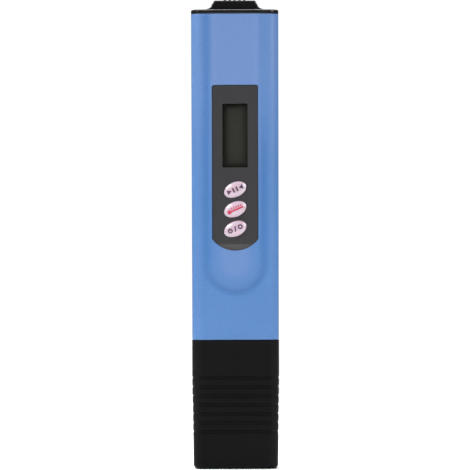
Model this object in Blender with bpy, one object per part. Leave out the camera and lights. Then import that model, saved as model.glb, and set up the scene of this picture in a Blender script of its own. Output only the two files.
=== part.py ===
"""Pocket pH and temperature test pen, built as a Blender assembly.

Run with: blender --background --python part.py

Metres, +Z up. The pen stands on its black probe cap. +X is to the right of someone
who faces the display, and -Y points out of the display towards them. The origin is
the middle of the foot of the probe cap.
"""

import math

import bmesh
import bpy
from mathutils import Matrix, Vector

MM = 0.001

# ---------------------------------------------------------------- driving dimensions
# Clearances. SEAM is a parting line, SNUG is between pieces that are glued or clamped.
SEAM = 0.15 * MM
SNUG = 0.06 * MM

# The section is a rounded rectangle. Its middle lies a little behind the origin,
# because the raised tongue and the keys stand out in front of it.
BODY_WIDTH = 28.86 * MM
BODY_DEPTH = 14.0 * MM
AXIS_Y = 0.6 * MM
EDGE_RADIUS = 3.8 * MM
WALL = 1.3 * MM
BODY_DRAFT = 0.15 * MM

# Heights along the pen.
CAP_RIM_Z = 42.48 * MM
NECK_BOTTOM_Z = 31.0 * MM
NECK_WALL = 1.2 * MM
SEAL_LOW_Z = 36.2 * MM
SEAL_HIGH_Z = 37.6 * MM
SEAL_SUNK = 0.55 * MM
BODY_BOTTOM_Z = CAP_RIM_Z + SEAM
BODY_TOP_Z = 150.08 * MM

# Raised tongue on the front: it runs down from the top and ends in a half circle.
TONGUE_HALF_WIDTH = 10.55 * MM
TONGUE_RISE = 0.55 * MM
TONGUE_SLOPE = 2.8 * MM
TONGUE_ARC_Z = 67.9 * MM

# Dark face panel, set into the tongue.
PANEL_HALF_WIDTH = 7.53 * MM
PANEL_TOP_Z = 126.5 * MM
PANEL_BOTTOM_Z = 72.1 * MM
PANEL_ARC_RADIUS = 9.4 * MM
PANEL_CORNER = 0.6 * MM
PANEL_THICKNESS = 1.1 * MM
PANEL_SINK = 0.1 * MM
PANEL_GAP = 0.1 * MM
# The panel's foot is bevelled below this height.
BEVEL_TOP_Z = 74.15 * MM
BEVEL_DEPTH = 0.3 * MM

# Display window and the three slanted oval keys.
WINDOW_HALF_WIDTH = 4.16 * MM
WINDOW_HALF_HEIGHT = 10.53 * MM
WINDOW_Z = 109.94 * MM
LENS_HALF_WIDTH = 5.8 * MM
LENS_HALF_HEIGHT = 12.4 * MM
LCD_HALF_WIDTH = 7.0 * MM
LCD_HALF_HEIGHT = 13.0 * MM
LCD_FRAME_WALL = 1.4 * MM
KEY_NAMES = ("hold", "temp", "power")
KEY_TOP_Z = 92.1 * MM
KEY_PITCH = 6.47 * MM
KEY_LONG = 3.81 * MM
KEY_SHORT = 2.42 * MM
KEY_TILT = math.radians(23.8)
KEY_CROWN = 0.85 * MM
# A key's height falls with this power of the distance from its middle.
KEY_DOME = 3.2
KEY_TRAVEL = 0.7 * MM
KEY_GAP = 0.18 * MM
KEY_SLEEVE_HALF_WIDTH = 5.3 * MM
KEY_SLEEVE_HALF_HEIGHT = 10.2 * MM

# Probe cap.
CAP_WALL = 1.5 * MM
CAP_HALF_WIDTH = 14.35 * MM
CAP_HALF_DEPTH = 7.1 * MM
CAP_TAPER = 0.43 * MM
CAP_FLOOR = 1.6 * MM
CAP_FOOT_RADIUS = 1.5 * MM
GROOVE_COUNT = 7
GROOVE_TOP_Z = 30.05 * MM
GROOVE_PITCH = 2.96 * MM
GROOVE_WIDTH = 1.1 * MM
GROOVE_DEPTH = 0.3 * MM
# Round the corners and the narrow sides a groove is only this deep.
GROOVE_END_DEPTH = 0.13 * MM

# Battery cap.
FLANGE_THICKNESS = 1.33 * MM
HUMP_TOP_HALF = 6.88 * MM
HUMP_KNEE_HALF = 7.7 * MM
HUMP_FOOT_HALF = 11.0 * MM
HUMP_HEIGHT = 3.01 * MM
HUMP_KNEE_HEIGHT = 1.3 * MM
HUMP_HALF_DEPTH = 4.6 * MM
RIDGE_COUNT = 5
RIDGE_PITCH = 1.6 * MM
RIDGE_HEIGHT = 0.4 * MM
SPIGOT_LENGTH = 5.9 * MM
SPIGOT_WALL = 1.2 * MM

# Circuit board, mounted on four bosses of the front shell.
BOARD_FRONT_Y = -1.7 * MM
BOARD_THICKNESS = 1.0 * MM
BOARD_HALF_WIDTH = 12.2 * MM
BOARD_BOTTOM_Z = 46.5 * MM
BOARD_TOP_Z = 128.0 * MM
SCREW_X = 10.6 * MM
SCREW_Z = (60.0 * MM, 120.0 * MM)
BOSS_RADIUS = 1.75 * MM
SCREW_RADIUS = 0.8 * MM

# Two button cells side by side, their axes along X.
CELL_RADIUS = 5.8 * MM
CELL_THICKNESS = 5.4 * MM
CELL_Y = 0.35 * MM
CELL_Z = 136.2 * MM
CELL_BAY_HALF_WIDTH = 8.4 * MM
CRADLE_HALF_WIDTH = 8.1 * MM
CRADLE_LEFT_X = -6.1 * MM
CRADLE_RIGHT_X = 6.9 * MM

# Calibration trimmer, reached by a screwdriver through the back.
TRIMMER_Z = 70.0 * MM
TRIMMER_HALF = 3.3 * MM
TRIMMER_HEIGHT = 4.2 * MM
ROTOR_RADIUS = 1.75 * MM
ROTOR_HEIGHT = 1.2 * MM
DRIVER_HOLE_RADIUS = 2.1 * MM

# Sensor: a glass bulb and a steel temperature sheath inside a slotted nose.
NOSE_HALF_WIDTH = 10.0 * MM
NOSE_HALF_DEPTH = 5.0 * MM
NOSE_WALL = 1.0 * MM
NOSE_TIP_Z = 9.5 * MM
CHAMBER_TOP_Z = 24.0 * MM
BULB_X = -3.2 * MM
BULB_RADIUS = 3.5 * MM
BULB_Z = 16.2 * MM
STEM_RADIUS = 3.1 * MM
STEM_TOP_Z = 40.0 * MM
SHEATH_X = 5.2 * MM
SHEATH_RADIUS = 1.3 * MM
SHEATH_TIP_Z = 13.2 * MM
SHEATH_TOP_Z = 38.0 * MM
SPONGE_THICKNESS = 2.9 * MM

# Rear label.
LABEL_HALF_WIDTH = 9.0 * MM
LABEL_BOTTOM_Z = 86.0 * MM
LABEL_TOP_Z = 132.0 * MM
LABEL_THICKNESS = 0.15 * MM

# ---------------------------------------------------------------- levels worked out
FRONT_Y = AXIS_Y - BODY_DEPTH / 2
REAR_Y = AXIS_Y + BODY_DEPTH / 2
TONGUE_Y = FRONT_Y - TONGUE_RISE
PANEL_Y = TONGUE_Y + PANEL_SINK
PANEL_BACK_Y = PANEL_Y + PANEL_THICKNESS
INNER_FRONT_Y = FRONT_Y + WALL
INNER_REAR_Y = REAR_Y - WALL
INNER_HALF_WIDTH = BODY_WIDTH / 2 - WALL
BOARD_REAR_Y = BOARD_FRONT_Y + BOARD_THICKNESS
NECK_HALF_WIDTH = CAP_HALF_WIDTH - CAP_WALL - SEAM
NECK_HALF_DEPTH = CAP_HALF_DEPTH - CAP_WALL - SEAM
NECK_RADIUS = EDGE_RADIUS - 0.8 * MM
PARTING_Y = AXIS_Y

CORNER_STEPS = 4
ROUND_STEPS = 20


# ---------------------------------------------------------------- outlines
def rounded_rectangle(half_width, half_height, radius, steps=CORNER_STEPS):
    """Points of a rounded rectangle about the origin, anticlockwise."""
    points = []
    for quarter in range(4):
        turn = quarter * math.pi / 2
        side_u = 1 if quarter in (0, 3) else -1
        side_v = 1 if quarter in (0, 1) else -1
        for step in range(steps + 1):
            angle = turn + math.pi / 2 * step / steps
            points.append(
                (
                    side_u * (half_width - radius) + radius * math.cos(angle),
                    side_v * (half_height - radius) + radius * math.sin(angle),
                )
            )
    return points


def ellipse(long, short, steps=ROUND_STEPS):
    """Points of an ellipse about the origin, its long axis along u."""
    turns = [2 * math.pi * step / steps for step in range(steps)]
    return [(long * math.cos(turn), short * math.sin(turn)) for turn in turns]


def circle(radius, steps=ROUND_STEPS):
    return ellipse(radius, radius, steps)


def shifted(outline, du, dv):
    return [(u + du, v + dv) for u, v in outline]


def tilted(outline, angle):
    c, s = math.cos(angle), math.sin(angle)
    return [(u * c - v * s, u * s + v * c) for u, v in outline]


def tongue_slope(steps=4):
    """(half width, rise) pairs from the foot of the tongue to its crest, in a soft S."""
    pairs = []
    for step in range(steps + 1):
        share = step / steps
        rise = TONGUE_RISE * share * share * (3 - 2 * share)
        pairs.append((TONGUE_HALF_WIDTH - TONGUE_SLOPE * share, rise))
    return pairs


def tongue_outline(half_width, top_z, steps=16):
    """A strip with its lower end a half circle, in x and z."""
    points = [(half_width, top_z), (-half_width, top_z)]
    for step in range(steps + 1):
        turn = math.pi + math.pi * step / steps
        points.append(
            (half_width * math.cos(turn), TONGUE_ARC_Z + half_width * math.sin(turn))
        )
    return points


def panel_outline(margin, steps=12):
    """The face panel: square shoulders, and a shallow arc at its foot, in x and z."""
    half = PANEL_HALF_WIDTH + margin
    radius = PANEL_ARC_RADIUS + margin
    top = PANEL_TOP_Z + margin
    corner = PANEL_CORNER
    arc_z = PANEL_BOTTOM_Z + PANEL_ARC_RADIUS
    reach = math.asin(half / radius)
    points = []
    for side, first in ((1, 0.0), (-1, math.pi / 2)):
        for step in range(4):
            turn = first + math.pi / 2 * step / 3
            points.append(
                (
                    side * (half - corner) + corner * math.cos(turn),
                    top - corner + corner * math.sin(turn),
                )
            )
    for step in range(steps + 1):
        turn = -reach + 2 * reach * step / steps
        points.append((radius * math.sin(turn), arc_z - radius * math.cos(turn)))
    return points


# ---------------------------------------------------------------- solids
def object_from(bm, name):
    """A new object from a bmesh, with its faces turned outwards."""
    bmesh.ops.remove_doubles(bm, verts=bm.verts, dist=1e-6)
    bmesh.ops.recalc_face_normals(bm, faces=bm.faces)
    mesh = bpy.data.meshes.new(name)
    bm.to_mesh(mesh)
    bm.free()
    made = bpy.data.objects.new(name, mesh)
    bpy.context.scene.collection.objects.link(made)
    return made


def loft(rings, name="solid"):
    """A closed solid through rings of points, with the two end rings filled."""
    bm = bmesh.new()
    rows = [[bm.verts.new(point) for point in ring] for ring in rings]
    for low, high in zip(rows, rows[1:]):
        count = len(low)
        for i in range(count):
            j = (i + 1) % count
            bm.faces.new((low[i], low[j], high[j], high[i]))
    bm.faces.new(rows[0])
    bm.faces.new(rows[-1])
    return object_from(bm, name)


def upright(outline, z):
    """An outline in x and y, laid at a height. Its middle is on the pen's axis."""
    return [Vector((u, v + AXIS_Y, z)) for u, v in outline]


def facing(outline, y):
    """An outline in x and z, standing at a depth."""
    return [Vector((u, y, v)) for u, v in outline]


def prism_up(outline, low, high):
    return loft([upright(outline, low), upright(outline, high)])


def prism_back(outline, front, back):
    return loft([facing(outline, front), facing(outline, back)])


def across(outline, reach):
    """An outline in y and z, drawn out to both sides."""
    return loft([[Vector((x, u, v)) for u, v in outline] for x in (-reach, reach)])


def box(x, y, z):
    """A box from three (low, high) pairs."""
    bm = bmesh.new()
    bmesh.ops.create_cube(bm, size=1)
    size = Vector((x[1] - x[0], y[1] - y[0], z[1] - z[0]))
    middle = Vector((x[0] + x[1], y[0] + y[1], z[0] + z[1])) / 2
    bmesh.ops.scale(bm, vec=size, verts=bm.verts)
    bmesh.ops.translate(bm, vec=middle, verts=bm.verts)
    return object_from(bm, "box")


def turned(profile, steps=ROUND_STEPS, closed=False):
    """A solid turned about Z from (radius, height) points.

    An open profile starts and ends on the axis. A closed one makes a ring or a tube.
    """
    bm = bmesh.new()
    line = [bm.verts.new((radius, 0, height)) for radius, height in profile]
    pairs = list(zip(line, line[1:])) + ([(line[-1], line[0])] if closed else [])
    edges = [bm.edges.new(pair) for pair in pairs]
    bmesh.ops.spin(
        bm,
        geom=line + edges,
        cent=(0, 0, 0),
        axis=(0, 0, 1),
        angle=2 * math.pi,
        steps=steps,
    )
    return object_from(bm, "turned")


def moved(obj, matrix):
    obj.data.transform(matrix)
    return obj


def at(x, y, z):
    return Matrix.Translation((x, y, z))


def combine(body, tool, operation):
    """Joins tool to body, cuts it from body, or keeps what both hold."""
    modifier = body.modifiers.new("combine", "BOOLEAN")
    modifier.operation = operation
    modifier.object = tool
    bpy.context.view_layer.update()
    graph = bpy.context.evaluated_depsgraph_get()
    mesh = bpy.data.meshes.new_from_object(body.evaluated_get(graph))
    body.modifiers.clear()
    body.data = mesh
    bpy.data.objects.remove(tool)
    return body


def joined(body, *tools):
    for tool in tools:
        combine(body, tool, "UNION")
    return body


def cut(body, *tools):
    for tool in tools:
        combine(body, tool, "DIFFERENCE")
    return body


# ---------------------------------------------------------------- materials and placing
def material(name, colour, roughness, metallic=0.0):
    made = bpy.data.materials.new(name)
    made.use_nodes = True
    made.diffuse_color = (*colour, 1)
    shader = made.node_tree.nodes["Principled BSDF"]
    shader.inputs["Base Color"].default_value = (*colour, 1)
    shader.inputs["Roughness"].default_value = roughness
    shader.inputs["Metallic"].default_value = metallic
    return made


def empty(name, location):
    made = bpy.data.objects.new(name, None)
    made.location = location
    bpy.context.scene.collection.objects.link(made)
    return made


def place(obj, name, finish, parent, origin=None):
    """Names a solid, gives it its material, and hangs it on its body's empty.

    The solid arrives in the shared frame. Its own origin goes to the given point, or
    to its parent's.
    """
    origin = Vector(origin) if origin else parent.location.copy()
    obj.data.transform(Matrix.Translation(-origin))
    obj.name = name
    obj.data.name = name
    obj.data.materials.clear()
    obj.data.materials.append(finish)
    obj.data.shade_smooth()
    obj.data.set_sharp_from_angle(angle=math.radians(35))
    obj.parent = parent
    obj.location = origin - parent.location
    return obj


# ---------------------------------------------------------------- housing shells
def housing_blank():
    """Both shells in one piece: a hollow box with a raised tongue and a neck."""
    half = BODY_WIDTH / 2
    depth = BODY_DEPTH / 2
    foot = rounded_rectangle(half - BODY_DRAFT, depth, EDGE_RADIUS)
    head = rounded_rectangle(half, depth, EDGE_RADIUS)
    blank = loft([upright(foot, BODY_BOTTOM_Z), upright(head, BODY_TOP_Z)])
    neck = rounded_rectangle(NECK_HALF_WIDTH, NECK_HALF_DEPTH, NECK_RADIUS)
    root = facing(tongue_outline(TONGUE_HALF_WIDTH, BODY_TOP_Z), FRONT_Y + WALL / 2)
    tongue = loft(
        [root]
        + [
            facing(tongue_outline(half_width, BODY_TOP_Z), FRONT_Y - rise)
            for half_width, rise in tongue_slope()
        ]
    )
    joined(blank, prism_up(neck, NECK_BOTTOM_Z, BODY_BOTTOM_Z + WALL), tongue)
    hollow = rounded_rectangle(INNER_HALF_WIDTH, depth - WALL, EDGE_RADIUS - WALL)
    throat = rounded_rectangle(
        NECK_HALF_WIDTH - NECK_WALL, NECK_HALF_DEPTH - NECK_WALL, NECK_RADIUS / 2
    )
    past = WALL
    return cut(
        blank,
        prism_up(hollow, BODY_BOTTOM_Z + WALL, BODY_TOP_Z + past),
        prism_up(throat, NECK_BOTTOM_Z - past, BODY_BOTTOM_Z + 2 * WALL),
        cell_bay(),
        seal_groove(),
    )


def cell_bay():
    """Thins the walls in front of and behind the button cells, which fill the depth."""
    room = CELL_RADIUS + 0.2 * MM
    return box(
        (-CELL_BAY_HALF_WIDTH, CELL_BAY_HALF_WIDTH),
        (CELL_Y - room, CELL_Y + room),
        (BOARD_TOP_Z, BODY_TOP_Z + WALL),
    )


def seal_groove():
    """A shallow groove round the neck for its rubber ring."""
    outer = prism_up(
        rounded_rectangle(NECK_HALF_WIDTH + WALL, NECK_HALF_DEPTH + WALL, EDGE_RADIUS),
        SEAL_LOW_Z,
        SEAL_HIGH_Z,
    )
    core = rounded_rectangle(
        NECK_HALF_WIDTH - SEAL_SUNK, NECK_HALF_DEPTH - SEAL_SUNK, NECK_RADIUS - SEAL_SUNK
    )
    return cut(outer, prism_up(core, SEAL_LOW_Z - WALL, SEAL_HIGH_Z + WALL))


def screw_places():
    return [(x, z) for z in SCREW_Z for x in (-SCREW_X, SCREW_X)]


def half_space(low_y, high_y):
    reach = BODY_WIDTH
    return box((-reach, reach), (low_y, high_y), (-reach, BODY_TOP_Z + reach))


def front_shell(finish, parent):
    shell = housing_blank()
    cut(shell, half_space(PARTING_Y - SEAM / 2, PARTING_Y + BODY_DEPTH))
    floor_y = PANEL_BACK_Y + SNUG
    cut(shell, prism_back(panel_outline(PANEL_GAP), TONGUE_Y - WALL, floor_y))
    play = 0.2 * MM
    lens_hole = rounded_rectangle(LENS_HALF_WIDTH + play, LENS_HALF_HEIGHT + play, 0.5 * MM, 2)
    key_hole = rounded_rectangle(KEY_SLEEVE_HALF_WIDTH, KEY_SLEEVE_HALF_HEIGHT, 2.0 * MM, 3)
    middle_key = KEY_TOP_Z - KEY_PITCH
    back = INNER_FRONT_Y + WALL
    cut(
        shell,
        prism_back(shifted(lens_hole, 0, WINDOW_Z), TONGUE_Y - WALL, back),
        prism_back(shifted(key_hole, 0, middle_key), TONGUE_Y - WALL, back),
    )
    for x, z in screw_places():
        boss = prism_back(
            shifted(circle(BOSS_RADIUS, 12), x, z),
            INNER_FRONT_Y - WALL / 2,
            BOARD_FRONT_Y - SNUG,
        )
        joined(shell, boss)
        hole = shifted(circle(SCREW_RADIUS + SNUG, 10), x, z)
        cut(shell, prism_back(hole, INNER_FRONT_Y, BOARD_FRONT_Y + WALL))
    return place(shell, "front_shell", finish, parent)


def rear_shell(finish, parent):
    shell = housing_blank()
    cut(shell, half_space(PARTING_Y - BODY_DEPTH, PARTING_Y + SEAM / 2))
    for side in (-1, 1):
        joined(shell, parting_rail(side))
    hole = shifted(circle(DRIVER_HOLE_RADIUS, 24), 0, TRIMMER_Z)
    cut(shell, prism_back(hole, INNER_REAR_Y - WALL, REAR_Y + WALL))
    label_z = (LABEL_BOTTOM_Z + LABEL_TOP_Z) / 2
    recess = rounded_rectangle(
        LABEL_HALF_WIDTH + SEAM, (LABEL_TOP_Z - LABEL_BOTTOM_Z) / 2 + SEAM, 1.0 * MM, 3
    )
    sunk = LABEL_THICKNESS + 2 * SNUG
    cut(shell, prism_back(shifted(recess, 0, label_z), REAR_Y - sunk, REAR_Y + WALL))
    return place(shell, "rear_shell", finish, parent)


def parting_rail(side):
    """A rail inside one long edge that aligns the shells and backs the parting line.

    It runs from the floor over the neck to just under the battery cap's spigot.
    """
    thickness = 0.55 * MM
    edge = INNER_HALF_WIDTH - SEAM
    lip = sorted((side * edge, side * (edge - thickness)))
    root = sorted((side * (edge - SEAM), side * (INNER_HALF_WIDTH + SEAM)))
    low = BODY_BOTTOM_Z + WALL + 2 * SEAM
    high = BODY_TOP_Z + SEAM - SPIGOT_LENGTH - 2 * SEAM
    span = (low, high)
    rail = box(lip, (PARTING_Y - WALL, PARTING_Y + 2 * WALL), span)
    return joined(rail, box(root, (PARTING_Y + SEAM, PARTING_Y + 2 * WALL), span))


def rear_label(finish, parent):
    outline = rounded_rectangle(
        LABEL_HALF_WIDTH, (LABEL_TOP_Z - LABEL_BOTTOM_Z) / 2, 0.9 * MM, 3
    )
    outline = shifted(outline, 0, (LABEL_BOTTOM_Z + LABEL_TOP_Z) / 2)
    back = REAR_Y - SNUG
    label = prism_back(outline, back - LABEL_THICKNESS, back)
    return place(label, "rear_label", finish, parent)


# ---------------------------------------------------------------- face panel and display
def face_panel(finish, parent):
    panel = prism_back(panel_outline(0), PANEL_Y, PANEL_BACK_Y)
    front, back = PANEL_Y - WALL, PANEL_BACK_Y + WALL
    window = rounded_rectangle(WINDOW_HALF_WIDTH, WINDOW_HALF_HEIGHT, 0.3 * MM, 2)
    cut(panel, prism_back(shifted(window, 0, WINDOW_Z), front, back))
    hole = tilted(ellipse(KEY_LONG + KEY_GAP, KEY_SHORT + KEY_GAP, 28), KEY_TILT)
    for row in range(len(KEY_NAMES)):
        place_z = KEY_TOP_Z - row * KEY_PITCH
        cut(panel, prism_back(shifted(hole, 0, place_z), front, back))
    cut(panel, panel_bevel())
    return place(panel, "face_panel", finish, parent)


def panel_bevel():
    """A wedge that slants the foot of the panel back a little."""
    low_z = PANEL_BOTTOM_Z - WALL
    fall = BEVEL_DEPTH / (BEVEL_TOP_Z - PANEL_BOTTOM_Z)
    wedge = [
        (PANEL_Y - WALL, BEVEL_TOP_Z),
        (PANEL_Y, BEVEL_TOP_Z),
        (PANEL_Y + fall * (BEVEL_TOP_Z - low_z), low_z),
        (PANEL_Y - WALL, low_z),
    ]
    return across(wedge, PANEL_HALF_WIDTH + WALL)


def lcd_parts(clear, glass, white, rubber, parent):
    """Lens, glass cell, frame, and the two rubber connector strips behind the window."""
    lens_front = PANEL_BACK_Y + 2 * SNUG
    lens_back = lens_front + 0.8 * MM
    lens = rounded_rectangle(LENS_HALF_WIDTH, LENS_HALF_HEIGHT, 0.4 * MM, 2)
    place(
        prism_back(shifted(lens, 0, WINDOW_Z), lens_front, lens_back),
        "lcd_lens",
        clear,
        parent,
    )
    cell_front = lens_back + SEAM
    ledge_y = cell_front + 0.9 * MM
    cell_back = ledge_y + 0.9 * MM
    tall = (WINDOW_Z - LCD_HALF_HEIGHT, WINDOW_Z + LCD_HALF_HEIGHT)
    cell = box((-LCD_HALF_WIDTH, LCD_HALF_WIDTH), (cell_front, ledge_y), tall)
    joined(cell, box((-5.0 * MM, 5.0 * MM), (ledge_y - SEAM, cell_back), tall))
    place(cell, "lcd_glass", glass, parent)
    inner_x, inner_z = LCD_HALF_WIDTH + SEAM, LCD_HALF_HEIGHT + SEAM
    frame_inner = rounded_rectangle(inner_x, inner_z, 0.2 * MM, 2)
    frame_outer = rounded_rectangle(
        inner_x + LCD_FRAME_WALL, inner_z + LCD_FRAME_WALL, 0.6 * MM, 2
    )
    frame = prism_back(
        shifted(frame_outer, 0, WINDOW_Z),
        INNER_FRONT_Y + SNUG,
        BOARD_FRONT_Y - SNUG,
    )
    cut(
        frame,
        prism_back(shifted(frame_inner, 0, WINDOW_Z), FRONT_Y, BOARD_FRONT_Y + WALL),
    )
    place(frame, "lcd_frame", white, parent)
    for side, name in ((-1, "zebra_strip_left"), (1, "zebra_strip_right")):
        across = sorted((side * 5.2 * MM, side * 6.8 * MM))
        strip = box(across, (ledge_y + SNUG, BOARD_FRONT_Y - SNUG), tall)
        place(strip, name, rubber, parent)


# ---------------------------------------------------------------- keys
def key_ring(scale, y, z):
    outline = tilted(ellipse(KEY_LONG * scale, KEY_SHORT * scale, 24), KEY_TILT)
    return facing(shifted(outline, 0, z), y)


def key(name, z, rubber, carbon, parent):
    """A domed oval key, its hidden flange, its plunger and the carbon pill it carries."""
    dome = (0.2, 0.5, 0.7, 0.85, 1.0)
    rings = [key_ring(s, PANEL_Y - KEY_CROWN * (1 - s**KEY_DOME), z) for s in dome]
    flange_front = PANEL_BACK_Y + SEAM
    flange_back = flange_front + 0.6 * MM
    pill_back = BOARD_FRONT_Y - KEY_TRAVEL - SNUG
    pill_front = pill_back - 0.4 * MM
    rings += [
        key_ring(1.0, flange_front, z),
        key_ring(1.09, flange_front, z),
        key_ring(1.09, flange_back, z),
        key_ring(0.62, flange_back, z),
        key_ring(0.62, pill_front - SNUG, z),
    ]
    origin = (0, PANEL_Y, z)
    place(loft(rings), name + "_button", rubber, parent, origin)
    pill = prism_back(shifted(circle(1.5 * MM, 14), 0, z), pill_front, pill_back)
    place(pill, name + "_contact_pill", carbon, parent, origin)


def keypad_mat(finish, parent):
    """Rubber sheet on the board that the keys grow out of."""
    middle = KEY_TOP_Z - KEY_PITCH
    sheet = rounded_rectangle(6.6 * MM, 9.4 * MM, 1.0 * MM, 3)
    front = BOARD_FRONT_Y - 1.3 * MM
    mat = prism_back(shifted(sheet, 0, middle), front, BOARD_FRONT_Y - SNUG)
    hole = tilted(ellipse(KEY_LONG * 0.75, KEY_SHORT * 0.84, 20), KEY_TILT)
    for row in range(len(KEY_NAMES)):
        place_z = KEY_TOP_Z - row * KEY_PITCH
        cut(mat, prism_back(shifted(hole, 0, place_z), front - WALL, BOARD_REAR_Y))
    return place(mat, "keypad_mat", finish, parent)


# ---------------------------------------------------------------- circuit board
def main_board(finish, parent):
    middle = (BOARD_BOTTOM_Z + BOARD_TOP_Z) / 2
    outline = rounded_rectangle(
        BOARD_HALF_WIDTH, (BOARD_TOP_Z - BOARD_BOTTOM_Z) / 2, 0.8 * MM, 2
    )
    board = prism_back(shifted(outline, 0, middle), BOARD_FRONT_Y, BOARD_REAR_Y)
    for x, z in screw_places():
        hole = shifted(circle(SCREW_RADIUS + 0.3 * MM, 12), x, z)
        cut(board, prism_back(hole, BOARD_FRONT_Y - WALL, BOARD_REAR_Y + WALL))
    return place(board, "main_board", finish, parent)


def board_screws(finish, parent):
    """Four self-tapping screws with a cross recess, heads on the back of the board."""
    head_height = 1.1 * MM
    slot = 0.3 * MM
    for number, (x, z) in enumerate(screw_places(), 1):
        tip = BOARD_FRONT_Y - 2.9 * MM - BOARD_REAR_Y
        screw = turned(
            [
                (0, tip),
                (SCREW_RADIUS * 0.5, tip),
                (SCREW_RADIUS, tip + 0.7 * MM),
                (SCREW_RADIUS, SNUG),
                (SCREW_RADIUS * 2, SNUG),
                (SCREW_RADIUS * 1.9, head_height * 0.7),
                (SCREW_RADIUS * 1.3, head_height),
                (0, head_height),
            ],
            12,
        )
        for arm in ((2.6, 1), (1, 2.6)):
            u, v = arm[0] * slot, arm[1] * slot
            cut(screw, box((-u, u), (-v, v), (head_height * 0.5, head_height * 2)))
        moved(screw, Matrix.Rotation(math.radians(-90), 4, "X"))
        moved(screw, at(x, BOARD_REAR_Y, z))
        place(screw, f"board_screw_{number}", finish, parent, (x, BOARD_REAR_Y, z))


def board_parts(black, steel, ceramic, blue, parent):
    """What is soldered on the back of the board."""
    base = BOARD_REAR_Y + SNUG
    chips = (
        ("controller_chip", black, (0, 106), (4.2, 4.2), 1.3),
        ("amplifier_chip", black, (-6.5, 84), (2.5, 2.0), 1.5),
        ("supply_capacitor", ceramic, (7.4, 114), (1.0, 1.7), 1.3),
        ("filter_capacitor", ceramic, (-8.0, 72), (1.0, 1.7), 1.3),
    )
    for name, finish, (x, z), (half_x, half_z), height in chips:
        body = rounded_rectangle(half_x * MM, half_z * MM, 0.2 * MM, 1)
        body = shifted(body, x * MM, z * MM)
        place(prism_back(body, base, base + height * MM), name, finish, parent)
    crystal = turned([(0, 0), (1.0 * MM, 0), (1.0 * MM, 6.0 * MM), (0, 6.0 * MM)], 12)
    moved(crystal, at(7.0 * MM, base + 1.0 * MM, 90.0 * MM))
    place(crystal, "clock_crystal", steel, parent)
    half = TRIMMER_HALF
    trimmer = rounded_rectangle(half, half, 0.4 * MM, 2)
    trimmer = prism_back(
        shifted(trimmer, 0, TRIMMER_Z), base, base + TRIMMER_HEIGHT
    )
    seat = shifted(circle(ROTOR_RADIUS + SEAM), 0, TRIMMER_Z)
    seat_y = base + TRIMMER_HEIGHT - 0.5 * MM
    cut(trimmer, prism_back(seat, seat_y, base + 2 * TRIMMER_HEIGHT))
    place(trimmer, "trimmer_body", blue, parent)


def trimmer_rotor(finish, parent):
    """The round adjuster, with a cross slot for a small screwdriver."""
    seat = parent.location.y
    rotor = prism_back(
        shifted(circle(ROTOR_RADIUS), 0, TRIMMER_Z), seat + SNUG, seat + ROTOR_HEIGHT
    )
    slot = 0.28 * MM
    floor = seat + ROTOR_HEIGHT * 0.5
    for arm in ((4.4, 1), (1, 4.4)):
        u, v = arm[0] * slot, arm[1] * slot
        cut(
            rotor,
            box(
                (-u, u), (floor, seat + 2 * ROTOR_HEIGHT), (TRIMMER_Z - v, TRIMMER_Z + v)
            ),
        )
    return place(rotor, "trimmer_rotor", finish, parent)


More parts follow.
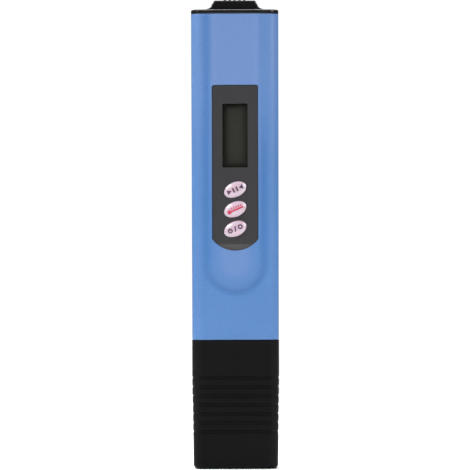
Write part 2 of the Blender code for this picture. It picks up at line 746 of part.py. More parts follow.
# ---------------------------------------------------------------- batteries
def battery_parts(black, steel, parent):
    """Open-topped cradle with two button cells between a plate and a leaf spring."""
    low, high = BOARD_TOP_Z + 0.5 * MM, CELL_Z + 4.6 * MM
    depth = CELL_RADIUS - 0.6 * MM
    cradle = box(
        (-CRADLE_HALF_WIDTH, CRADLE_HALF_WIDTH),
        (CELL_Y - depth, CELL_Y + depth),
        (low, high),
    )
    radius = CELL_RADIUS + SEAM
    trough = [(CELL_Y - radius, high + WALL)]
    for number in range(13):
        turn = math.pi + math.pi * number / 12
        trough.append((CELL_Y + radius * math.cos(turn), CELL_Z + radius * math.sin(turn)))
    trough.append((CELL_Y + radius, high + WALL))
    ends = (CRADLE_LEFT_X, CRADLE_RIGHT_X)
    room = loft([[Vector((x, y, z)) for y, z in trough] for x in ends])
    slots = [
        box((x, x + width), (CELL_Y - 1.6 * MM, CELL_Y + 1.6 * MM), (low - WALL, CELL_Z))
        for x, width in (
            (CRADLE_LEFT_X - SNUG, 0.8 * MM),
            (CRADLE_RIGHT_X + SNUG - 0.9 * MM, 0.9 * MM),
        )
    ]
    place(cut(cradle, room, *slots), "battery_holder", black, parent)

    rim = 0.5 * MM
    for name, x in (("battery_cell_left", -CELL_THICKNESS), ("battery_cell_right", SNUG)):
        top = CELL_THICKNESS - SNUG
        cell = turned(
            [
                (0, 0),
                (CELL_RADIUS - rim, 0),
                (CELL_RADIUS, rim),
                (CELL_RADIUS, top - 0.4 * MM),
                (CELL_RADIUS - 0.6 * MM, top - 0.4 * MM),
                (CELL_RADIUS - 1.0 * MM, top),
                (0, top),
            ],
            28,
        )
        moved(cell, Matrix.Rotation(math.radians(90), 4, "Y"))
        moved(cell, at(x, CELL_Y, CELL_Z))
        place(cell, name, steel, parent, (x, CELL_Y, CELL_Z))

    def bent_strip(line, thickness, half_width):
        """A strip that follows points in x and z, bent from sheet."""
        there = [Vector(point) for point in line]
        back = []
        for index in range(len(there) - 1, -1, -1):
            before = there[max(index - 1, 0)]
            after = there[min(index + 1, len(there) - 1)]
            along = (after - before).normalized()
            back.append(there[index] + Vector((along.y, -along.x)) * thickness)
        outline = [(p.x, p.y) for p in there + back]
        return prism_back(outline, CELL_Y - half_width, CELL_Y + half_width)

    pad_z = BOARD_TOP_Z + SEAM
    plate = bent_strip(
        [(-5.65 * MM, pad_z), (-5.65 * MM, CELL_Z + 3 * MM)], -0.25 * MM, 1.3 * MM
    )
    place(plate, "positive_contact", steel, parent)
    spring = bent_strip(
        [
            (6.4 * MM, pad_z),
            (6.4 * MM, CELL_Z - 4.2 * MM),
            (5.75 * MM, CELL_Z - 1.2 * MM),
            (5.6 * MM, CELL_Z + 0.2 * MM),
            (6.2 * MM, CELL_Z + 3.4 * MM),
        ],
        0.2 * MM,
        1.3 * MM,
    )
    place(spring, "negative_contact", steel, parent)


def battery_cap(black, rubber, parent):
    """Cap that pulls off the top: flange, grip hump with ridges, and a hollow spigot."""
    base = BODY_TOP_Z + SEAM
    top = base + FLANGE_THICKNESS
    half, depth = BODY_WIDTH / 2, BODY_DEPTH / 2
    edge = 0.4 * MM

    def step(inset, z):
        outline = rounded_rectangle(half - inset, depth - inset, EDGE_RADIUS - inset)
        return upright(outline, z)

    cap = loft(
        [
            step(0, base),
            step(0, top - edge),
            step(edge, top - edge / 4),
            step(2.5 * edge, top),
        ]
    )
    slope = tongue_slope()
    bump = [(TONGUE_HALF_WIDTH, WALL - depth), (-TONGUE_HALF_WIDTH, WALL - depth)]
    bump += [(-half_width, -depth - rise) for half_width, rise in slope]
    bump += [(half_width, -depth - rise) for half_width, rise in reversed(slope)]
    joined(cap, prism_up(bump, base, top - edge))

    hump = [(-HUMP_FOOT_HALF, top - edge), (HUMP_FOOT_HALF, top - edge)]
    hump += hump_side(top, 1)
    hump += reversed(hump_side(top, -1))
    joined(
        cap, prism_back(hump, AXIS_Y - HUMP_HALF_DEPTH, AXIS_Y + HUMP_HALF_DEPTH)
    )
    crown = top + HUMP_HEIGHT
    for number in range(RIDGE_COUNT):
        x = (number - (RIDGE_COUNT - 1) / 2) * RIDGE_PITCH
        ridge = [
            (x - 0.5 * MM, crown - SEAM),
            (x + 0.5 * MM, crown - SEAM),
            (x + 0.3 * MM, crown + RIDGE_HEIGHT),
            (x - 0.3 * MM, crown + RIDGE_HEIGHT),
        ]
        length = HUMP_HALF_DEPTH - 0.8 * MM
        joined(cap, prism_back(ridge, AXIS_Y - length, AXIS_Y + length))

    outer_x = INNER_HALF_WIDTH - 0.5 * MM
    outer_y = depth - WALL - SEAM
    low = base - SPIGOT_LENGTH
    corner = EDGE_RADIUS - WALL - 0.5 * MM
    spigot = prism_up(rounded_rectangle(outer_x, outer_y, corner, 3), low, base + edge)
    joined(cap, spigot)
    bore = rounded_rectangle(outer_x - SPIGOT_WALL, outer_y - SPIGOT_WALL, 0.8 * MM, 3)
    cut(cap, prism_up(bore, low - WALL, base))
    groove_low, groove_high = low + 1.6 * MM, low + 2.8 * MM
    groove = prism_up(
        rounded_rectangle(half, depth, EDGE_RADIUS), groove_low, groove_high
    )
    sunk = 0.5 * MM
    core = rounded_rectangle(outer_x - sunk, outer_y - sunk, corner - sunk, 3)
    cut(groove, prism_up(core, groove_low - WALL, groove_high + WALL))
    cut(cap, groove)
    place(cap, "battery_cap", black, parent)

    ring = ring_seal(
        (outer_x - sunk + SNUG, outer_y - sunk + SNUG, corner - sunk),
        (INNER_HALF_WIDTH - SNUG, depth - WALL - SNUG, EDGE_RADIUS - WALL - SNUG),
        (groove_low + SNUG, groove_high - SNUG),
        3,
    )
    place(ring, "battery_cap_seal", rubber, parent)


def hump_side(flange_top, side, steps=4):
    """One flank of the grip hump: a hollow flare at its foot, then straight to the crown."""
    flank = []
    for number in range(1, steps + 1):
        turn = math.pi / 2 * number / steps
        x = HUMP_FOOT_HALF - (HUMP_FOOT_HALF - HUMP_KNEE_HALF) * math.sin(turn)
        z = flange_top + HUMP_KNEE_HEIGHT * (1 - math.cos(turn))
        flank.append((side * x, z))
    soft = 0.3 * MM
    crown = flange_top + HUMP_HEIGHT
    flank.append((side * (HUMP_TOP_HALF + soft / 2), crown - soft))
    flank.append((side * (HUMP_TOP_HALF - soft), crown))
    return flank


def ring_seal(inner, outer, span, steps=CORNER_STEPS):
    """A flat rubber ring between two rounded rectangles."""
    ring = prism_up(rounded_rectangle(*outer, steps), *span)
    hole = prism_up(rounded_rectangle(*inner, steps), span[0] - WALL, span[1] + WALL)
    return cut(ring, hole)


# ---------------------------------------------------------------- sensor
def sensor_nose(finish, parent):
    """Plug that closes the neck, with a slotted guard round the sensors."""
    plug_x = NECK_HALF_WIDTH - NECK_WALL - SEAM
    plug_y = NECK_HALF_DEPTH - NECK_WALL - SEAM
    plug = rounded_rectangle(plug_x, plug_y, NECK_RADIUS / 2)
    collar = rounded_rectangle(NECK_HALF_WIDTH - SEAM, NECK_HALF_DEPTH - SEAM, NECK_RADIUS)
    guard = rounded_rectangle(
        NOSE_HALF_WIDTH, NOSE_HALF_DEPTH, NOSE_HALF_DEPTH - 0.6 * MM, 6
    )
    collar_low = NECK_BOTTOM_Z - 1.6 * MM
    nose = prism_up(plug, NECK_BOTTOM_Z - WALL, CAP_RIM_Z - 3.0 * MM)
    joined(
        nose,
        prism_up(collar, collar_low, NECK_BOTTOM_Z - SEAM),
        prism_up(guard, NOSE_TIP_Z, collar_low + SEAM),
    )
    chamber = rounded_rectangle(
        NOSE_HALF_WIDTH - NOSE_WALL,
        NOSE_HALF_DEPTH - NOSE_WALL,
        NOSE_HALF_DEPTH - NOSE_WALL - 0.5 * MM,
        6,
    )
    past = 2 * NOSE_WALL
    cut(nose, prism_up(chamber, NOSE_TIP_Z - past, CHAMBER_TOP_Z))
    for x in (-5.6 * MM, 0.0, 5.6 * MM):
        slot = rounded_rectangle(1.1 * MM, 4.4 * MM, 1.05 * MM, 3)
        slot = shifted(slot, x, 17.0 * MM)
        cut(nose, prism_back(slot, AXIS_Y - BODY_DEPTH, AXIS_Y + BODY_DEPTH))
    bores = (
        (BULB_X, STEM_RADIUS + SEAM, CHAMBER_TOP_Z + past),
        (BULB_X, BULB_RADIUS + 1.2 * MM, CHAMBER_TOP_Z),
        (SHEATH_X, SHEATH_RADIUS + SEAM, CHAMBER_TOP_Z),
    )
    for x, radius, low in bores:
        seat = radius > STEM_RADIUS + NOSE_WALL
        high = CHAMBER_TOP_Z + 1.8 * MM if seat else CAP_RIM_Z
        bore = shifted(circle(radius, 24), x, 0)
        cut(nose, prism_up(bore, low - (past if seat or x > 0 else 2 * past), high))
    return place(nose, "sensor_nose", finish, parent)


def sensor_parts(glass, felt, silver, steel, resin, rubber, parent):
    """Glass pH electrode, its reference junction, and the temperature sheath."""
    wall = 0.5 * MM

    def bulb_line(radius, stem, top, steps=7):
        """Half outline of a bulb that necks into a stem."""
        neck = math.asin(stem / radius)
        line = []
        for number in range(steps + 1):
            turn = (math.pi - neck) * number / steps
            line.append((radius * math.sin(turn), BULB_Z - radius * math.cos(turn)))
        return line + [(stem, top)]

    outer = bulb_line(BULB_RADIUS, STEM_RADIUS, STEM_TOP_Z)
    inner = bulb_line(BULB_RADIUS - wall, STEM_RADIUS - 2 * wall, STEM_TOP_Z)
    tube = turned(outer + inner[::-1], 24)
    place(moved(tube, at(BULB_X, AXIS_Y, 0)), "glass_electrode", glass, parent)

    ring_low = CHAMBER_TOP_Z + SNUG
    ring = turned(
        [
            (STEM_RADIUS + SNUG, ring_low),
            (BULB_RADIUS + 1.0 * MM, ring_low),
            (BULB_RADIUS + 1.0 * MM, ring_low + 1.5 * MM),
            (STEM_RADIUS + SNUG, ring_low + 1.5 * MM),
        ],
        24,
        closed=True,
    )
    place(moved(ring, at(BULB_X, AXIS_Y, 0)), "reference_junction", felt, parent)

    rod = 0.4 * MM
    wire = turned(
        [(0, BULB_Z), (rod, BULB_Z), (rod, STEM_TOP_Z + MM), (0, STEM_TOP_Z + MM)], 8
    )
    place(moved(wire, at(BULB_X, AXIS_Y, 0)), "electrode_wire", silver, parent)

    bung = turned(
        [
            (rod + SNUG, STEM_TOP_Z - 4.0 * MM),
            (STEM_RADIUS - 2 * wall - SNUG, STEM_TOP_Z - 4.0 * MM),
            (STEM_RADIUS - 2 * wall - SNUG, STEM_TOP_Z),
            (rod + SNUG, STEM_TOP_Z),
        ],
        16,
        closed=True,
    )
    place(moved(bung, at(BULB_X, AXIS_Y, 0)), "electrode_bung", rubber, parent)

    round_z = SHEATH_TIP_Z + SHEATH_RADIUS
    bore = SHEATH_RADIUS - 0.3 * MM
    tip = []
    for number in range(4):
        turn = math.pi / 2 * number / 3
        tip.append(
            (SHEATH_RADIUS * math.sin(turn), round_z - SHEATH_RADIUS * math.cos(turn))
        )
    sheath = turned(
        tip + [(SHEATH_RADIUS, SHEATH_TOP_Z), (bore, SHEATH_TOP_Z), (bore, round_z), (0, round_z)],
        16,
    )
    place(moved(sheath, at(SHEATH_X, AXIS_Y, 0)), "temperature_sheath", steel, parent)
    bead = turned(
        [
            (0, round_z + SEAM),
            (0.75 * MM, round_z + 0.5 * MM),
            (0.75 * MM, round_z + 2.0 * MM),
            (0, round_z + 2.6 * MM),
        ],
        10,
    )
    place(moved(bead, at(SHEATH_X, AXIS_Y, 0)), "thermistor_bead", resin, parent)


def neck_seal(finish, parent):
    sunk = SEAL_SUNK - SNUG
    ring = ring_seal(
        (NECK_HALF_WIDTH - sunk, NECK_HALF_DEPTH - sunk, NECK_RADIUS - sunk),
        (NECK_HALF_WIDTH + 0.1 * MM, NECK_HALF_DEPTH + 0.1 * MM, NECK_RADIUS),
        (SEAL_LOW_Z + SNUG, SEAL_HIGH_Z - SNUG),
    )
    return place(ring, "neck_seal", finish, parent)


def lead(name, points, finish, parent):
    """A thin insulated wire along a smooth curve through the given points."""
    guide = bpy.data.curves.new(name, "CURVE")
    guide.dimensions = "3D"
    guide.bevel_depth = 0.4 * MM
    guide.bevel_resolution = 1
    guide.use_fill_caps = True
    smooth = through(points)
    spline = guide.splines.new("POLY")
    spline.points.add(len(smooth) - 1)
    for place_of, point in zip(spline.points, smooth):
        place_of.co = (*point, 1)
    wire = bpy.data.objects.new(name, guide)
    bpy.context.scene.collection.objects.link(wire)
    bpy.context.view_layer.update()
    graph = bpy.context.evaluated_depsgraph_get()
    mesh = bpy.data.meshes.new_from_object(wire.evaluated_get(graph))
    bpy.data.objects.remove(wire)
    bm = bmesh.new()
    bm.from_mesh(mesh)
    return place(object_from(bm, name), name, finish, parent)


def through(points, per_span=4):
    """A Catmull-Rom curve through points."""
    knots = [Vector(p) for p in points]
    knots = [2 * knots[0] - knots[1], *knots, 2 * knots[-1] - knots[-2]]
    line = []
    for a, b, c, d in zip(knots, knots[1:], knots[2:], knots[3:]):
        for number in range(per_span):
            t = number / per_span
            line.append(
                (
                    2 * b
                    + (c - a) * t
                    + (2 * a - 5 * b + 4 * c - d) * t * t
                    + (3 * b - a - 3 * c + d) * t**3
                )
                / 2
            )
    return line + [knots[-2]]


def sensor_leads(white, red, blue, parent):
    """Three leads from the sensors to pads at the foot of the board."""
    pad_y = BOARD_REAR_Y + 0.4 * MM + SNUG
    deep = AXIS_Y + 1.6 * MM
    runs = (
        ("electrode_lead", white, BULB_X, STEM_TOP_Z + 1.5 * MM, -5.0 * MM),
        ("reference_lead", blue, 1.6 * MM, CAP_RIM_Z - 2.4 * MM, 0.0),
        ("temperature_lead", red, SHEATH_X, SHEATH_TOP_Z + 2.0 * MM, 5.0 * MM),
    )
    for name, finish, start_x, start_z, pad_x in runs:
        pad_z = BOARD_BOTTOM_Z + 4.0 * MM
        points = (
            (start_x, AXIS_Y, start_z),
            (start_x, AXIS_Y + 0.3 * MM, start_z + 1.6 * MM),
            ((start_x + pad_x) / 2, deep, BOARD_BOTTOM_Z - 0.6 * MM),
            (pad_x, deep * 0.6, BOARD_BOTTOM_Z + 1.8 * MM),
            (pad_x, pad_y, pad_z),
        )
        lead(name, points, finish, parent)


# ---------------------------------------------------------------- probe cap
def cap_taper(z):
    """How far the outside of the probe cap has drawn in at a height."""
    return CAP_TAPER * max(0.0, (GROOVE_TOP_Z - z) / GROOVE_TOP_Z)


def cap_ring(z, inset):
    inset += cap_taper(z)
    outline = rounded_rectangle(
        CAP_HALF_WIDTH - inset, CAP_HALF_DEPTH - inset, EDGE_RADIUS - min(inset, 1.2 * MM)
    )
    return upright(outline, z)


def grip_groove(number, side):
    """A cutter for one straight groove across a broad face. It runs out at the corners."""
    middle = GROOVE_TOP_Z - number * GROOVE_PITCH
    half = GROOVE_WIDTH / 2
    surface = CAP_HALF_DEPTH - cap_taper(middle)
    slope = 0.1 * MM
    section = [
        (AXIS_Y + side * (surface - GROOVE_DEPTH), middle - half + slope),
        (AXIS_Y + side * (surface - GROOVE_DEPTH), middle + half - slope),
        (AXIS_Y + side * surface, middle + half),
        (AXIS_Y + side * (surface + WALL), middle + half),
        (AXIS_Y + side * (surface + WALL), middle - half),
        (AXIS_Y + side * surface, middle - half),
    ]
    return across(section, CAP_HALF_WIDTH + WALL)


def probe_cap(finish, parent):
    steps = 3
    rings = []
    for number in range(steps + 1):
        turn = math.pi / 2 * number / steps
        height = CAP_FOOT_RADIUS * (1 - math.cos(turn))
        rings.append(cap_ring(height, CAP_FOOT_RADIUS * (1 - math.sin(turn))))
    half = GROOVE_WIDTH / 2 - 0.05 * MM
    slope = 0.1 * MM
    for number in reversed(range(GROOVE_COUNT)):
        middle = GROOVE_TOP_Z - number * GROOVE_PITCH
        rings.append(cap_ring(middle - half, 0.0))
        rings.append(cap_ring(middle - half + slope, GROOVE_END_DEPTH))
        rings.append(cap_ring(middle + half - slope, GROOVE_END_DEPTH))
        rings.append(cap_ring(middle + half, 0.0))
    cap = loft(rings + [cap_ring(CAP_RIM_Z, 0.0)])
    for number in range(GROOVE_COUNT):
        cut(cap, grip_groove(number, -1), grip_groove(number, 1))

    bore_x, bore_y = CAP_HALF_WIDTH - CAP_WALL, CAP_HALF_DEPTH - CAP_WALL
    corner = EDGE_RADIUS - 0.7 * MM
    bore = rounded_rectangle(bore_x, bore_y, corner)
    foot_bore = rounded_rectangle(bore_x - CAP_TAPER, bore_y - CAP_TAPER, corner)
    hollow = loft(
        [
            upright(foot_bore, CAP_FLOOR),
            upright(bore, GROOVE_TOP_Z),
            upright(bore, CAP_RIM_Z + CAP_WALL),
        ]
    )
    return place(cut(cap, hollow), "probe_cap", finish, parent)


def soaking_sponge(finish, parent):
    """Damp pad in the foot of the cap that keeps the glass bulb wet."""
    room = CAP_WALL + CAP_TAPER + 0.25 * MM
    corner = EDGE_RADIUS - 0.8 * MM
    outline = rounded_rectangle(CAP_HALF_WIDTH - room, CAP_HALF_DEPTH - room, corner)
    low = CAP_FLOOR + SNUG
    pad = prism_up(outline, low, low + SPONGE_THICKNESS)
    return place(pad, "soaking_sponge", finish, parent)


# ---------------------------------------------------------------- assembly
def main():
    for obj in list(bpy.data.objects):
        bpy.data.objects.remove(obj, do_unlink=True)

    blue = material("blue_abs", (0.115, 0.26, 0.6), 0.38)
    black = material("black_abs", (0.012, 0.012, 0.012), 0.42)
    charcoal = material("charcoal_abs", (0.055, 0.055, 0.055), 0.45)
    key_rubber = material("pink_silicone", (0.8, 0.56, 0.7), 0.25)
    clear = material("clear_acrylic", (0.75, 0.78, 0.75), 0.05)
    lcd = material("lcd_glass", (0.035, 0.038, 0.025), 0.1)
    white = material("white_abs", (0.75, 0.75, 0.72), 0.5)
    carbon = material("carbon_rubber", (0.01, 0.01, 0.01), 0.7)
    rubber = material("black_rubber", (0.015, 0.015, 0.015), 0.65)
    board_green = material("board_laminate", (0.02, 0.16, 0.05), 0.4)
    steel = material("steel", (0.6, 0.6, 0.6), 0.25, 1.0)
    ceramic = material("ceramic", (0.5, 0.38, 0.22), 0.5)
    trimmer_blue = material("trimmer_nylon", (0.03, 0.12, 0.5), 0.45)
    brass = material("brass", (0.8, 0.58, 0.25), 0.3, 1.0)
    glass = material("electrode_glass", (0.8, 0.88, 0.85), 0.03)
    felt = material("junction_felt", (0.75, 0.73, 0.66), 0.9)
    silver = material("silver_wire", (0.75, 0.74, 0.72), 0.3, 1.0)
    resin = material("epoxy", (0.03, 0.03, 0.03), 0.3)
    sponge = material("sponge", (0.75, 0.6, 0.12), 0.95)
    label = material("label_foil", (0.6, 0.61, 0.62), 0.4)
    lead_white = material("white_lead", (0.75, 0.75, 0.75), 0.5)
    lead_red = material("red_lead", (0.55, 0.02, 0.02), 0.5)
    lead_blue = material("blue_lead", (0.03, 0.08, 0.5), 0.5)

    cap_body = empty("probe_cap_body", (0, AXIS_Y, 0))
    meter = empty("meter_body", (0, AXIS_Y, CAP_RIM_Z))
    top_body = empty("battery_cap_body", (0, AXIS_Y, BODY_TOP_Z))
    rotor_y = BOARD_REAR_Y + SNUG + TRIMMER_HEIGHT - 0.5 * MM
    rotor_body = empty("trimmer_axis", (0, rotor_y, TRIMMER_Z))

    probe_cap(black, cap_body)
    soaking_sponge(sponge, cap_body)

    front_shell(blue, meter)
    rear_shell(blue, meter)
    rear_label(label, meter)
    face_panel(charcoal, meter)
    lcd_parts(clear, lcd, white, carbon, meter)
    keypad_mat(key_rubber, meter)
    main_board(board_green, meter)
    board_screws(steel, meter)
    board_parts(black, steel, ceramic, trimmer_blue, meter)
    battery_parts(black, steel, meter)
    sensor_nose(charcoal, meter)
    sensor_parts(glass, felt, silver, steel, resin, rubber, meter)
    neck_seal(rubber, meter)
    sensor_leads(lead_white, lead_red, lead_blue, meter)

    for row, name in enumerate(KEY_NAMES):
        z = KEY_TOP_Z - row * KEY_PITCH
        key_body = empty(name + "_key_axis", (0, PANEL_Y, z))
        key(name, z, key_rubber, carbon, key_body)
    battery_cap(black, rubber, top_body)
    trimmer_rotor(brass, rotor_body)
    bpy.context.view_layer.update()


main()
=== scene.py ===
import math

import bmesh
import bpy
from bpy.props import FloatProperty, FloatVectorProperty, PointerProperty
from bpy.types import Operator, Panel, PropertyGroup
from mathutils import Matrix, Vector


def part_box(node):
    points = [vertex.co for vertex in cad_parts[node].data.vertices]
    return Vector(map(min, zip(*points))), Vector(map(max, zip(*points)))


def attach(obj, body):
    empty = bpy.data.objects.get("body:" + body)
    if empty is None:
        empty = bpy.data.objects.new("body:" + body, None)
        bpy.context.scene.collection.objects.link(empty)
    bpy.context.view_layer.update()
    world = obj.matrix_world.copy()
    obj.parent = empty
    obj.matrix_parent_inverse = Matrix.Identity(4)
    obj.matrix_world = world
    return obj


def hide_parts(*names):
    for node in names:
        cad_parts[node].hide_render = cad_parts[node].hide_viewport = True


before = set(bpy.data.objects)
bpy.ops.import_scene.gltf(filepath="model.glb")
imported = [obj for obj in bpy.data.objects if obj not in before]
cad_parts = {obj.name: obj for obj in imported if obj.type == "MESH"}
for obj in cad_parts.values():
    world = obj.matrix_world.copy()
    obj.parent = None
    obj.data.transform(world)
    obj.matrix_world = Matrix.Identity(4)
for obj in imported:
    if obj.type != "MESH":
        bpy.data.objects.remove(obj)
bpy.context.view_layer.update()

bl_info = {
    "name": "Water test pen",
    "version": (1, 0, 0),
    "blender": (4, 5, 0),
    "location": "View3D > Sidebar > Test pen",
    "description": "Builds a pocket pH and temperature pen around its packed frame",
    "category": "Object",
}

MM = 0.001
# Sockets of the Mix node when it mixes colours.
MIX_A, MIX_B, MIX_COLOUR = 6, 7, 2

# ---- sizes shared with the frame
FRONT_LOW, FRONT_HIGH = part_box("front_shell")
REAR_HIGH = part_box("rear_shell")[1]
PANEL_LOW, PANEL_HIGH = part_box("face_panel")
CAP_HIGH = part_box("probe_cap")[1]

SEAM = 0.15 * MM
SNUG = 0.06 * MM
WALL = 1.3 * MM
BODY_HALF = FRONT_HIGH.x
HALF_DEPTH = 7.0 * MM
REAR_Y = REAR_HIGH.y
AXIS_Y = REAR_Y - HALF_DEPTH
FRONT_Y = AXIS_Y - HALF_DEPTH
BODY_TOP_Z = FRONT_HIGH.z
CAP_RIM_Z = CAP_HIGH.z
BODY_BOTTOM_Z = CAP_RIM_Z + SEAM
NECK_BOTTOM_Z = FRONT_LOW.z
BODY_DRAFT = 0.15 * MM
EDGE_RADIUS = 3.8 * MM
INNER_HALF = BODY_HALF - WALL

TONGUE_FOOT = 10.55 * MM
TONGUE_ARC_Z = 67.9 * MM
TONGUE_Y = FRONT_LOW.y

PANEL_Y = PANEL_LOW.y
PANEL_BACK_Y = PANEL_HIGH.y
PANEL_HALF = PANEL_HIGH.x
PANEL_TOP_Z = PANEL_HIGH.z
PANEL_BOTTOM_Z = PANEL_LOW.z
PANEL_ARC = 9.4 * MM
PANEL_CORNER = 0.6 * MM
PANEL_GAP = 0.1 * MM
BEVEL_TOP_Z = 74.15 * MM
BEVEL_DEPTH = 0.3 * MM
WINDOW_HALF_WIDTH = 4.16 * MM
WINDOW_HALF_HEIGHT = 10.53 * MM
WINDOW_Z = 109.94 * MM

KEYS = (("hold", 92.1 * MM), ("temp", 85.63 * MM), ("power", 79.16 * MM))
KEY_LONG = 3.81 * MM
KEY_SHORT = 2.42 * MM
KEY_TILT = math.radians(23.8)
KEY_DOME = 3.2
KEY_GAP = 0.18 * MM

CAP_TAPER = 0.43 * MM
GROOVE_TOP_Z = 30.05 * MM
GROOVE_PITCH = 2.96 * MM
GROOVE_COUNT = 7
GROOVE_WIDTH = 1.1 * MM
FLANGE_THICKNESS = 1.33 * MM
HUMP_HEIGHT = 3.01 * MM
NECK_HALF_WIDTH = CAP_HIGH.x - 1.65 * MM
NECK_HALF_DEPTH = 5.45 * MM
NECK_RADIUS = EDGE_RADIUS - 0.8 * MM
NECK_WALL = 1.2 * MM
BOARD_FRONT_Y = -1.7 * MM
SCREW_X = 10.6 * MM
SCREW_Z = (60.0 * MM, 120.0 * MM)
TRIMMER_Z = 70.0 * MM
LABEL_LOW, LABEL_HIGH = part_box("rear_label")
CELL_Y = 0.35 * MM
CELL_BAY_Z = 128.0 * MM


# ---- colours
def linear(text):
    """An sRGB hex colour as linear RGBA."""
    values = [int(text[i : i + 2], 16) / 255 for i in (0, 2, 4)]
    return (*(v / 12.92 if v <= 0.04045 else ((v + 0.055) / 1.055) ** 2.4 for v in values), 1.0)


def colour(name, text, description):
    return FloatVectorProperty(
        name=name,
        description=description,
        subtype="COLOR",
        size=4,
        min=0,
        max=1,
        default=linear(text),
    )


def length(name, millimetres, description):
    return FloatProperty(
        name=name,
        description=description,
        default=millimetres * MM,
        min=0,
        precision=5,
        unit="LENGTH",
        subtype="DISTANCE",
    )


class PenSizes(PropertyGroup):
    """Soft edges and reliefs of the visible pieces."""

    tongue_slope: length("Tongue slope", 2.8, "Width of the slope round the tongue")
    parting_edge: length("Parting edge", 0.22, "Rounding along the parting line")
    rim_edge: length("Rim edge", 0.18, "Rounding at the two ends of the housing")
    panel_edge: length("Panel edge", 0.2, "Rounding of the face panel's rim")
    window_edge: length("Window edge", 0.12, "Rounding of the display window")
    key_crown: length("Key crown", 0.83, "Height of a key above the panel")
    mark_height: length("Mark height", 0.015, "How far the printed signs stand proud")
    groove_depth: length("Groove depth", 0.4, "Depth of the grip grooves")
    flange_edge: length("Flange edge", 0.45, "Height of the rounding round the battery cap's flange")
    ridge_height: length("Ridge height", 0.38, "Height of the ridges on the hump")


class PenColours(PropertyGroup):
    """Base colours of the visible pieces."""

    body: colour("Body", "507AB1", "Blue of the housing")
    body_deep: colour("Body, deep", "4D76AC", "Darker patches of the housing")
    # Painted shade along the foot of the tongue's slope.
    painted_foot_shade: colour("Body, foot of the slope", "2A609C", "Deeper blue round the tongue")
    # Painted sheen and highlights on the tongue, its shoulders and the top of the housing.
    tongue: colour("Tongue", "6884B5", "Paler tone of the raised tongue")
    panel: colour("Panel", "323234", "Dark grey of the face panel")
    cap: colour("Caps", "0B0B0B", "Black of both caps")
    keys: colour("Keys", "C0AFBC", "Pale pink of the keys")
    dark_mark: colour("Dark signs", "45203F", "Ink of the first and third key's sign")
    red_mark: colour("Red sign", "B8264A", "Ink of the middle key's sign")
    lcd: colour("Display", "45453F", "Unlit display")
    floor: colour("Floor", "F7F7F7", "Stage floor")


def sizes():
    return bpy.context.scene.pen_sizes


def colours():
    return bpy.context.scene.pen_colours


# ---- outlines
def rounded_rectangle(half_u, half_v, radius, steps=8):
    points = []
    for quarter in range(4):
        side_u = 1 if quarter in (0, 3) else -1
        side_v = 1 if quarter in (0, 1) else -1
        for step in range(steps + 1):
            turn = (quarter + step / steps) * math.pi / 2
            points.append(
                (
                    side_u * (half_u - radius) + radius * math.cos(turn),
                    side_v * (half_v - radius) + radius * math.sin(turn),
                )
            )
    return points


def quarter(steps, first=0.0):
    """(cosine, sine) pairs over a quarter turn."""
    turns = [first + math.pi / 2 * k / steps for k in range(steps + 1)]
    return [(math.cos(turn), math.sin(turn)) for turn in turns]


def shrinking(half_u, half_v, radius, steps=8):
    """A rounded rectangle as a function of its inset."""
    return lambda inset: rounded_rectangle(half_u - inset, half_v - inset, radius - inset, steps)


def ellipse(long, short, steps=64):
    turns = [2 * math.pi * step / steps for step in range(steps)]
    return [(long * math.cos(t), short * math.sin(t)) for t in turns]


def shifted(outline, du, dv):
    return [(u + du, v + dv) for u, v in outline]


def tilted(outline, angle=KEY_TILT):
    c, s = math.cos(angle), math.sin(angle)
    return [(u * c - v * s, u * s + v * c) for u, v in outline]


def panel_outline(margin, steps=40):
    """Square shoulders and a shallow arc at the foot, in x and z."""
    half = PANEL_HALF + margin
    radius = PANEL_ARC + margin
    top = PANEL_TOP_Z + margin
    arc_z = PANEL_BOTTOM_Z + PANEL_ARC
    reach = math.asin(half / radius)
    corner = PANEL_CORNER + margin
    points = []
    for side, first in ((1, 0.0), (-1, math.pi / 2)):
        centre = side * (half - corner)
        points += [(centre + corner * c, top - corner + corner * s) for c, s in quarter(6, first)]
    for step in range(steps + 1):
        turn = -reach + 2 * reach * step / steps
        points.append((radius * math.sin(turn), arc_z - radius * math.cos(turn)))
    return points


def rounded_levels(low, high, low_edge, high_edge, steps=4):
    """(level, inset) pairs from low to high, with each end rounded over."""
    arc = quarter(steps)
    levels = [(low + low_edge * (1 - c), low_edge * (1 - s)) for c, s in arc]
    levels += [(high - high_edge * (1 - c), high_edge * (1 - s)) for c, s in reversed(arc)]
    return levels


# ---- solids
def object_from(bm, name="solid"):
    bmesh.ops.remove_doubles(bm, verts=bm.verts, dist=1e-7)
    bmesh.ops.recalc_face_normals(bm, faces=bm.faces)
    mesh = bpy.data.meshes.new(name)
    bm.to_mesh(mesh)
    bm.free()
    made = bpy.data.objects.new(name, mesh)
    bpy.context.scene.collection.objects.link(made)
    return made


def loft(rings):
    bm = bmesh.new()
    rows = [[bm.verts.new(point) for point in ring] for ring in rings]
    for low, high in zip(rows, rows[1:]):
        count = len(low)
        for i in range(count):
            j = (i + 1) % count
            bm.faces.new((low[i], low[j], high[j], high[i]))
    bm.faces.new(rows[0])
    bm.faces.new(rows[-1])
    return object_from(bm)


def upright(outline, z):
    return [Vector((u, v + AXIS_Y, z)) for u, v in outline]


def facing(outline, y):
    return [Vector((u, y, v)) for u, v in outline]


def prism_up(outline, low, high):
    return loft([upright(outline, low), upright(outline, high)])


def prism_back(outline, front, back):
    return loft([facing(outline, front), facing(outline, back)])


def pillow_up(outline_of, low, high, low_edge, high_edge):
    """An upright solid with both ends rounded over. outline_of takes an inset."""
    levels = rounded_levels(low, high, low_edge, high_edge)
    return loft([upright(outline_of(inset), level) for level, inset in levels])


def pillow_back(outline_of, front, back, front_edge, back_edge):
    levels = rounded_levels(front, back, front_edge, back_edge)
    return loft([facing(outline_of(inset), level) for level, inset in levels])


